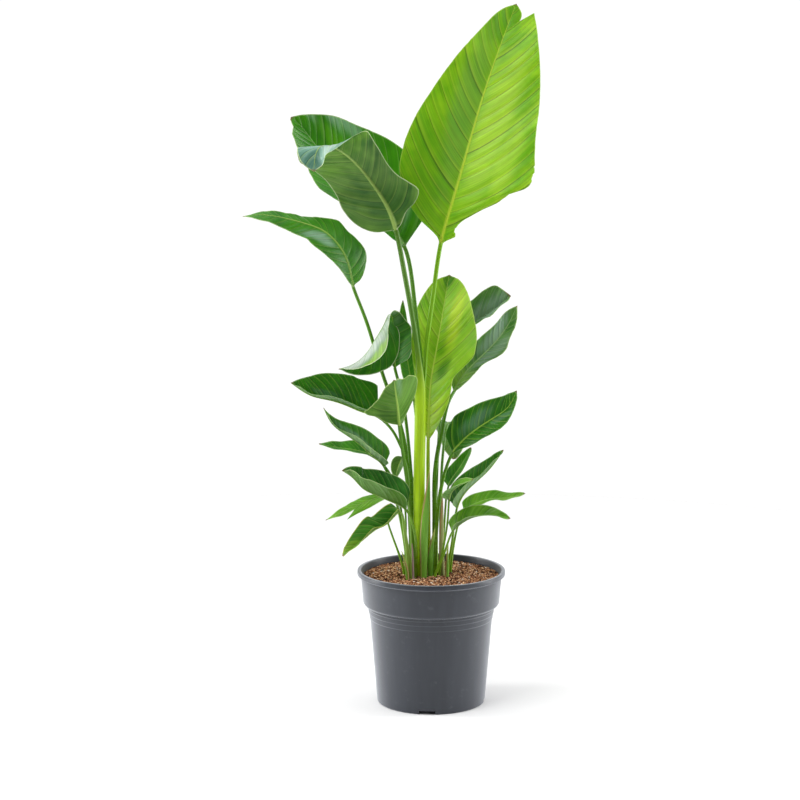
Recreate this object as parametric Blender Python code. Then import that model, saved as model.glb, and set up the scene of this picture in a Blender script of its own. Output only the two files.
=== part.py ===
"""Potted bird of paradise: a clump of paddle leaves on long stalks in a grey grower pot.

Metres, +Z up. The origin is the centre of the pot's underside. +X is to the right and -Y to the front.
The leaf tables are in centimetres, because a plant this size is easiest to read in them.
"""
import math

import bmesh
import bpy
import numpy as np

CM = 0.01

# Pot
POT_HEIGHT = 0.2185
RIM_RADIUS = 0.120
COLLAR_RADIUS = 0.1143
COLLAR_FOOT_RADIUS = 0.1104
STEP_HEIGHT = 0.1615
COLLAR_TOP = POT_HEIGHT - 0.010
FOOT_RADIUS = 0.0876
TAPER = 0.083
RINGS = (0.139, 0.148, 0.1555)
RING_RELIEF = 0.0009
RING_SLOPE = 0.0012
WALL = 0.0018
FLOOR_HEIGHT = 0.008
PAD_RADIUS = 0.022
NOTCH_WIDTH = 0.027
NOTCH_HEIGHT = 0.006
NOTCH_TURN = math.radians(-5)
DRAIN_HOLES = 8
DRAIN_RADIUS = 0.005
DRAIN_CIRCLE = 0.058
POT_SIDES = 32

# Soil
GAP = 0.0003
SOIL_TOP = 0.2055
SOIL_RELIEF = 0.0022
HOLE_FLOOR = 0.1755
SOIL_SIDES = 32

# Leaves, in centimetres
BLADE_HALF = 0.045
RIB_END = 0.05
LEAST_WIDTH = 0.22
FULL_LIFT_WIDTH = 1.4
WAVE_TURNS = 2.6
WAVE_PHASES = (0.0, 0.37)
STANDING = HOLE_FLOOR / CM + 0.03
VERTICAL = 21.2
SHEATH_HALF = 0.05


def material(name, colour, roughness, metallic=0.0):
    mat = bpy.data.materials.new(name)
    mat.use_nodes = True
    mat.diffuse_color = (*colour, 1.0)
    shader = mat.node_tree.nodes["Principled BSDF"]
    shader.inputs["Base Color"].default_value = (*colour, 1.0)
    shader.inputs["Roughness"].default_value = roughness
    shader.inputs["Metallic"].default_value = metallic
    return mat


def make_object(name, verts, faces, mat, location=(0, 0, 0), parent=None, smooth=True, sharp=40):
    mesh = bpy.data.meshes.new(name)
    mesh.from_pydata([tuple(float(c) for c in v) for v in verts], [], faces)
    mesh.materials.append(mat)
    mesh.validate()
    if smooth:
        mesh.shade_smooth()
        mesh.set_sharp_from_angle(angle=math.radians(sharp))
    obj = bpy.data.objects.new(name, mesh)
    bpy.context.scene.collection.objects.link(obj)
    obj.location = location
    obj.parent = parent
    return obj


def cut(obj, cutters):
    """Take the cutters away from the object by one exact Boolean each group."""
    group = bpy.data.collections.new(obj.name + "_cutters")
    bpy.context.scene.collection.children.link(group)
    for cutter in cutters:
        for owner in list(cutter.users_collection):
            owner.objects.unlink(cutter)
        group.objects.link(cutter)
        cutter.hide_render = True
        cutter.display_type = "WIRE"
    mod = obj.modifiers.new("cuts", "BOOLEAN")
    mod.operation = "DIFFERENCE"
    mod.operand_type = "COLLECTION"
    mod.collection = group
    mod.solver = "EXACT"


def turned(profile, sides, bump=None):
    """Turn a profile that starts and ends on the axis round +Z; bump raises a point by its place."""
    verts, faces, rings = [], [], []
    for r, z in profile:
        if r < 1e-9:
            rings.append([len(verts)])
            verts.append((0.0, 0.0, z + (bump(0.0, 0.0, z) if bump else 0.0)))
            continue
        ring = []
        for i in range(sides):
            a = 2 * math.pi * i / sides
            x, y = r * math.cos(a), r * math.sin(a)
            ring.append(len(verts))
            verts.append((x, y, z + (bump(x, y, z) if bump else 0.0)))
        rings.append(ring)
    for lower, upper in zip(rings[:-1], rings[1:]):
        for i in range(sides):
            j = (i + 1) % sides
            if len(lower) == 1:
                faces.append((lower[0], upper[j], upper[i]))
            elif len(upper) == 1:
                faces.append((lower[i], lower[j], upper[0]))
            else:
                faces.append((lower[i], lower[j], upper[j], upper[i]))
    return verts, faces


def cylinder(name, x, y, low, high, radius, sides, mat):
    verts = []
    for z in (low, high):
        for i in range(sides):
            a = 2 * math.pi * (i + 0.5) / sides
            verts.append((x + radius * math.cos(a), y + radius * math.sin(a), z))
    faces = [tuple(range(sides - 1, -1, -1)), tuple(range(sides, 2 * sides))]
    for i in range(sides):
        j = (i + 1) % sides
        faces.append((i, j, sides + j, sides + i))
    return make_object(name, verts, faces, mat, smooth=False)


# Pot: one turned wall, from the middle of the underside round the outside and back down the inside


def outer_radius(z):
    """Body radius below the step, with shallow rings that each stand a little further out."""
    r = FOOT_RADIUS + TAPER * z
    for ring in RINGS:
        r += RING_RELIEF * min(max((z - ring) / RING_SLOPE, 0.0), 1.0)
    return r


def pot_profile():
    outside = [
        (0.0, 0.0),
        (PAD_RADIUS, 0.0),
        (PAD_RADIUS + 0.0012, FLOOR_HEIGHT),
        (0.0800, FLOOR_HEIGHT),
        (0.0812, 0.0),
        (FOOT_RADIUS - 0.0028, 0.0),
        (FOOT_RADIUS - 0.0007, 0.0009),
        (outer_radius(0.003), 0.003),
    ]
    heights = [0.0600]
    for ring in RINGS:
        heights += [ring, ring + RING_SLOPE]
    outside += [(outer_radius(z), z) for z in heights]
    outside += [
        (outer_radius(STEP_HEIGHT - 0.001), STEP_HEIGHT - 0.001),
        (0.1066, STEP_HEIGHT),
        (0.1092, STEP_HEIGHT + 0.0012),
        (COLLAR_FOOT_RADIUS, STEP_HEIGHT + 0.0045),
        (0.1122, STEP_HEIGHT + 0.026),
        (COLLAR_RADIUS, COLLAR_TOP),
        (0.1148, POT_HEIGHT - 0.0065),
        (0.1192, POT_HEIGHT - 0.0060),
        (RIM_RADIUS, POT_HEIGHT - 0.0048),
        (RIM_RADIUS, POT_HEIGHT - 0.0014),
        (RIM_RADIUS - 0.0014, POT_HEIGHT),
        (0.1146, POT_HEIGHT),
        (0.1134, POT_HEIGHT - 0.001),
    ]
    inside = [
        (COLLAR_RADIUS - WALL, COLLAR_TOP),
        (COLLAR_FOOT_RADIUS - WALL, STEP_HEIGHT + 0.0060),
        (0.1062, STEP_HEIGHT + WALL),
        (outer_radius(STEP_HEIGHT) - WALL, STEP_HEIGHT),
        (outer_radius(RINGS[2] + 0.003) - WALL, RINGS[2] + 0.003),
        (outer_radius(RINGS[0] - 0.002) - WALL, RINGS[0] - 0.002),
        (FOOT_RADIUS + TAPER * (FLOOR_HEIGHT + WALL) - WALL, FLOOR_HEIGHT + WALL),
        (PAD_RADIUS - 0.0006, FLOOR_HEIGHT + WALL),
        (PAD_RADIUS - WALL, WALL),
        (0.0, WALL),
    ]
    return outside, inside


def build_pot(parent):
    mat = material("grey_plastic", (0.075, 0.083, 0.094), 0.45)
    outside, inside = pot_profile()
    verts, faces = turned(outside + inside, POT_SIDES)
    pot = make_object("pot", verts, faces, mat, parent=parent, sharp=50)
    cutters = []
    for i in range(4):
        a = NOTCH_TURN + math.radians(90 * i - 90)
        middle = np.array([math.cos(a), math.sin(a)]) * FOOT_RADIUS
        along = np.array([-math.sin(a), math.cos(a)]) * NOTCH_WIDTH / 2
        across = np.array([math.cos(a), math.sin(a)]) * 0.012
        corners = [middle - along - across, middle + along - across, middle + along + across,
                   middle - along + across]
        box = [(x, y, -0.004) for x, y in corners] + [(x, y, NOTCH_HEIGHT) for x, y in corners]
        sides = [(0, 1, 2, 3), (7, 6, 5, 4), (0, 4, 5, 1), (1, 5, 6, 2), (2, 6, 7, 3), (3, 7, 4, 0)]
        notch = make_object("foot_notch_%d" % i, box, sides, mat, smooth=False)
        cutters.append(notch)
    for i in range(DRAIN_HOLES):
        a = NOTCH_TURN + 2 * math.pi * (i + 0.5) / DRAIN_HOLES
        cutters.append(cylinder("drain_%d" % i, DRAIN_CIRCLE * math.cos(a), DRAIN_CIRCLE * math.sin(a),
                                FLOOR_HEIGHT - 0.004, FLOOR_HEIGHT + WALL + 0.004, DRAIN_RADIUS, 10, mat))
    cut(pot, cutters)
    return pot


# Soil: fills the pot to just under the rim, rough on top, with a plain round hole for each stem


def soil_bump(x, y, z):
    """Height of the rough top: small heaps, a slight mound in the middle and a dip along the wall."""
    if z < SOIL_TOP - 0.0005:
        return 0.0
    r = math.hypot(x, y)
    heaps = math.sin(310 * x + 1.3) * math.cos(270 * y + 0.4)
    heaps += 0.7 * math.sin(190 * x - 240 * y + 2.1) + 0.5 * math.cos(520 * x + 430 * y)
    fade = min(max((0.111 - r) / 0.012, 0.0), 1.0)
    return SOIL_RELIEF * 0.45 * heaps * fade + 0.0020 * math.exp(-(r / 0.05) ** 2)


def build_soil(parent, holes):
    mat = material("bark_soil", (0.18, 0.085, 0.05), 0.95)
    outside, inside = pot_profile()
    wall = []
    for r, z in reversed(inside):
        if r < 1e-9:
            wall.append((0.0, z + GAP))
            continue
        lift = GAP * 1.4 if r < 0.104 and z < 0.012 else 0.0
        wall.append((r - GAP * 1.4, z + lift))
    wall = [p for p in wall if p[1] < SOIL_TOP - 0.012]
    slope = (COLLAR_RADIUS - COLLAR_FOOT_RADIUS) / (COLLAR_TOP - STEP_HEIGHT - 0.006)
    edge = COLLAR_FOOT_RADIUS - WALL + slope * (SOIL_TOP - 0.001 - STEP_HEIGHT - 0.006) - GAP * 1.4
    wall.append((edge, SOIL_TOP - 0.001))
    top = [(edge - 0.002, SOIL_TOP)]
    for r in (0.099, 0.083, 0.067, 0.050, 0.033, 0.016, 0.0):
        top.append((r, SOIL_TOP))
    verts, faces = turned(wall + top, SOIL_SIDES, soil_bump)
    soil = make_object("soil", verts, faces, mat, parent=parent, sharp=60)
    cutters = []
    for name, x, y, radius in holes:
        sides = 16 if radius > 0.7 else 10
        grown = (radius + 0.045) / math.cos(math.pi / sides)
        cutters.append(cylinder("hole_" + name, x * CM, y * CM, HOLE_FLOOR, SOIL_TOP + 0.02, grown * CM,
                                sides, mat))
    cut(soil, cutters)
    return soil


# Leaf geometry: a section swept along one smooth line, from the foot of the stalk to the blade's tip


def unit(v):
    return v / np.linalg.norm(v)


def smooth_line(points, count=400):
    """Natural cubic curve through the points, as evenly fine samples, and each point's sample place."""
    pts = np.array(points, dtype=float)
    knots = np.concatenate([[0.0], np.cumsum(np.sqrt(np.linalg.norm(np.diff(pts, axis=0), axis=1)))])
    n = len(pts)
    h = np.diff(knots)
    system = np.eye(n)
    right = np.zeros((n, 3))
    for i in range(1, n - 1):
        system[i, i - 1:i + 2] = (h[i - 1], 2 * (h[i - 1] + h[i]), h[i])
        right[i] = 6 * ((pts[i + 1] - pts[i]) / h[i] - (pts[i] - pts[i - 1]) / h[i - 1])
    bend = np.linalg.solve(system, right)
    u = np.union1d(np.linspace(0, knots[-1], count), knots)
    line = []
    for value in u:
        i = min(int(np.searchsorted(knots, value, side="right")) - 1, n - 2)
        a = (knots[i + 1] - value) / h[i]
        b = 1 - a
        line.append(a * pts[i] + b * pts[i + 1]
                    + ((a ** 3 - a) * bend[i] + (b ** 3 - b) * bend[i + 1]) * h[i] ** 2 / 6)
    line = np.array(line)
    along = np.concatenate([[0.0], np.cumsum(np.linalg.norm(np.diff(line, axis=0), axis=1))])
    return line, along, [float(np.interp(k, u, along)) for k in knots]


class Path:
    """The line of one leaf with its travelling axes: tangent, side and the upper face's normal."""

    def __init__(self, stalk, rib, faces, facing_at=0.4):
        self.line, self.along, marks = smooth_line(list(stalk) + list(rib))
        self.foot = marks[len(stalk)]
        self.end = self.along[-1]
        tangent = np.gradient(self.line, self.along, axis=0)
        self.tangent = np.array([unit(t) for t in tangent])
        start = int(np.searchsorted(self.along, self.foot + facing_at * (self.end - self.foot)))
        self.normal = np.zeros_like(self.line)
        n = np.array(faces, dtype=float)
        for order in (range(start, len(self.line)), range(start, -1, -1)):
            carried = n
            for i in order:
                t = self.tangent[i]
                carried = unit(carried - carried.dot(t) * t)
                self.normal[i] = carried

    def at(self, distance):
        place, t, n = (np.array([np.interp(distance, self.along, grid[:, c]) for c in range(3)])
                       for grid in (self.line, self.tangent, self.normal))
        t = unit(t)
        n = unit(n - n.dot(t) * t)
        return place, t, np.cross(t, n), n


def between(table, t):
    """Value at t of a table: a number, an even list from foot to tip, or (t, value) pairs."""
    if isinstance(table, (int, float)):
        return float(table)
    if isinstance(table[0], (tuple, list)):
        return float(np.interp(t, [p[0] for p in table], [p[1] for p in table]))
    return float(np.interp(t, np.linspace(0, 1, len(table)), table))


def paddle(t, foot=0.22, tip=0.7):
    """Outline of a paddle leaf: full soon after its foot, then a long taper to the tip."""
    peak = foot / (foot + tip)
    top = peak ** foot * (1 - peak) ** tip
    return max(t, 0.0) ** foot * max(1 - t, 0.0) ** tip / top


def reach_of_row(outline, start, lean):
    """Length of a row that leaves the rib at start, leaning forward, up to the outline's points."""
    forward, across = math.sin(math.radians(lean)), math.cos(math.radians(lean))
    hits = []
    for (a0, c0), (a1, c1) in zip(outline[:-1], outline[1:]):
        da, dc = a1 - a0, c1 - c0
        cross = forward * dc - across * da
        if abs(cross) < 1e-9:
            continue
        length = ((a0 - start) * dc - c0 * da) / cross
        share = ((a0 - start) * across - c0 * forward) / cross
        if length > 0 and -1e-6 <= share <= 1 + 1e-6:
            hits.append(length)
    return min(hits) if hits else 0.0


def stalk_section(columns, radius):
    """Ring of a round stalk: the upper half from side to side, then the lower half back."""
    count = 4 * (len(columns) - 1) + 2
    step = 2 * math.pi / count
    ring = []
    for i in range(count):
        a = math.pi - (i + 0.5) * step
        ring.append((radius * math.cos(a), radius * math.sin(a), 0.0))
    return ring


def row_section(columns, widths, lifts, curls, lean, rib, half, waves=(0.0, 0.0), spread=3.0):
    """Ring of a thin row: two halves that leave the rib at their lift and bend on by their curl."""
    halves = []
    for side, width, lift, curl, wave in zip((-1, 1), widths, lifts, curls, waves):
        even = min(max(1 - width / spread, 0.0), 1.0)
        last = len(columns) - 1
        x = z = y = 0.0
        before = 0.0
        points = []
        for j in range(1, last + 1):
            s = columns[j] * (1 - even) + even * j / last
            a = math.radians(lift + curl * (s + before) / 2)
            reach = width * (s - before)
            x += reach * math.cos(math.radians(lean)) * math.cos(a) * side
            z += reach * math.cos(math.radians(lean)) * math.sin(a)
            y += reach * math.sin(math.radians(lean))
            a = math.radians(lift + curl * s)
            nx, nz = -math.sin(a) * side, math.cos(a)
            rise = wave * s * s
            px, pz = x + nx * rise, z + nz * rise
            points.append(((px + nx * half, pz + nz * half, y), (px - nx * half, pz - nz * half, y)))
            before = s
        halves.append(points)
    middle_top = (0.0, half, 0.0)
    middle_low = (0.0, -max(rib, half), 0.0)
    top = [p[0] for p in reversed(halves[0])] + [middle_top] + [p[0] for p in halves[1]]
    low = [p[1] for p in reversed(halves[1])] + [middle_low] + [p[1] for p in halves[0]]
    return top + low


def mixed(first, second, share):
    return [tuple(a * (1 - share) + b * share for a, b in zip(p, q)) for p, q in zip(first, second)]


def skin(rings, origin):
    """Closed body over the rings: upper and lower faces split alike, edge strips and both end caps."""
    count = len(rings[0])
    half = count // 2
    verts = [np.array(p) - origin for ring in rings for p in ring]
    faces = []
    for r in range(len(rings) - 1):
        a, b = r * count, (r + 1) * count
        for i in range(count):
            j = (i + 1) % count
            if i < half - 1:
                flip = i >= (half - 1) // 2
                mirror = False
            elif half <= i < count - 1:
                flip = (i - half) < (half - 1) // 2
                mirror = True
            else:
                flip = False
                mirror = False
            if flip != mirror:
                faces.append((a + i, b + j, b + i))
                faces.append((a + i, a + j, b + j))
            else:
                faces.append((a + i, a + j, b + i))
                faces.append((b + i, a + j, b + j))
    last = (len(rings) - 1) * count
    for base, turn in ((0, True), (last, False)):
        for i in range(half - 1):
            quad = (base + i, base + i + 1, base + count - 2 - i, base + count - 1 - i)
            if turn:
                quad = tuple(reversed(quad))
            faces.append((quad[0], quad[1], quad[2]))
            faces.append((quad[0], quad[2], quad[3]))
    return verts, faces


LEAN = [25, 30, 35, 38, 42, 48, 57]
COLUMNS = {4: (0, 0.07, 0.36, 0.7, 1), 3: (0, 0.10, 0.55, 1), 2: (0, 0.45, 1)}
ROWS = {4: (0.012, 0.05, 0.12, 0.21, 0.31, 0.42, 0.53, 0.64, 0.74, 0.83, 0.91, 0.97, 1.0),
        3: (0.015, 0.07, 0.17, 0.30, 0.44, 0.58, 0.72, 0.85, 0.95, 1.0),
        2: (0.02, 0.12, 0.30, 0.50, 0.70, 0.88, 1.0)}


def build_leaf(leaf, mats, parent, holes):
    """One leaf from its table: stalk ring by ring, then the blade row by row."""
    name = leaf["name"]
    k = leaf.get("k", 3)
    columns = COLUMNS[k]
    base_x, base_y = leaf["base"]
    stalk = [(base_x, base_y, STANDING), (base_x, base_y, VERTICAL)] + list(leaf["stalk"])
    path = Path(stalk, leaf["rib"], leaf["faces"], leaf.get("facing_at", 0.4))
    radius = leaf["radius"]
    neck = leaf.get("neck", 0.7 * radius)
    width = leaf.get("width", 0.0)
    lean = leaf.get("lean", LEAN)
    outline = leaf.get("outline", (0.22, 0.7))
    rings = []
    sheath = leaf.get("sheath")
    if leaf.get("hole", radius) > 0:
        holes.append((name, base_x, base_y, leaf.get("hole", radius)))
    stalk_rows = leaf.get("stalk_rows", k + 1)
    stops = [i / stalk_rows for i in range(stalk_rows)]
    vertical = (VERTICAL - STANDING) / path.foot
    stops = sorted(set([0.0, vertical] + [s for s in stops if s > vertical * 1.5]))
    if sheath:
        stops = sorted(set(stops + list(sheath["stops"])))
    for u in stops:
        place, t, side, n = path.at(u * path.foot)
        r = radius + (neck - radius) * u
        shape = stalk_section(columns, r)
        if sheath:
            share = between(sheath["share"], u)
            if share < 1:
                half_turn = between(sheath["half_turn"], u)
                big = between(sheath["size"], u)
                arc = math.radians(half_turn) * (big - SHEATH_HALF)
                wrap = row_section((0, 0.25, 0.5, 0.75, 1)[:k + 1], (arc, arc), (0, 0),
                                   (half_turn, half_turn), 0, SHEATH_HALF, SHEATH_HALF, spread=0.001)
                wrap = [(a, b - big + SHEATH_HALF, c) for a, b, c in wrap]
                shape = mixed(wrap, shape, share)
        rings.append([place + side * a + n * b + t * c for a, b, c in shape])
    length = path.end - path.foot
    rows = sorted(set(ROWS[k]) | set(leaf.get("extra_rows", ())))
    foot_shape = stalk_section(columns, neck)
    place, t, side, n = path.at(path.foot)
    rings.append([place + side * a + n * b + t * c for a, b, c in foot_shape])
    for u in rows:
        place, t, side, n = path.at(path.foot + u * length)
        turn = math.radians(between(leaf.get("twist", 0), u))
        side, n = side * math.cos(turn) + n * math.sin(turn), n * math.cos(turn) - side * math.sin(turn)
        widths = []
        for key in ("left", "right"):
            if key in leaf:
                stretch = length / leaf[key][-1][0]
                points = [(0.0, 0.0)] + [(a * stretch, c) for a, c in leaf[key]]
                w = reach_of_row(points, u * length, between(lean, u))
            else:
                w = width * leaf.get(key + "_scale", 1.0) * paddle(u, *outline)
            widths.append(max(w, LEAST_WIDTH))
        lifts = [between(leaf.get("lift_" + key, leaf.get("lift", 20)), u) for key in ("left", "right")]
        lifts = [lift * min(1.0, w / FULL_LIFT_WIDTH) for lift, w in zip(lifts, widths)]
        curls = [between(leaf.get("curl_" + key, 0), u) for key in ("left", "right")]
        size = leaf.get("wave", 0.0) * min(1.0, 6 * u * (1.05 - u))
        waves = [size * math.sin(2 * math.pi * (WAVE_TURNS * u + phase)) for phase in WAVE_PHASES]
        rib = RIB_END + (neck - RIB_END) * (1 - u) ** 0.8
        shape = row_section(columns, widths, lifts, curls, between(lean, u), rib, BLADE_HALF, waves)
        rings.append([place + side * a + n * b + t * c for a, b, c in shape])
    origin = np.array([base_x, base_y, STANDING])
    scaled = [[p * CM for p in ring] for ring in rings]
    verts, faces = skin(scaled, origin * CM)
    place = tuple(float(c) for c in origin * CM)
    return make_object(name, verts, faces, mats[leaf["colour"]], location=place, parent=parent)


# Leaves, in centimetres. Each has its foot in the soil, the stalk's and the rib's points, the way its
# upper face looks, the half-width and how far each half is lifted (degrees) from foot to tip. Left and
# right are as seen on the upper face with the tip up. Where an outline is given instead of a half-width,
# its points are (distance along the rib, distance from it).

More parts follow.
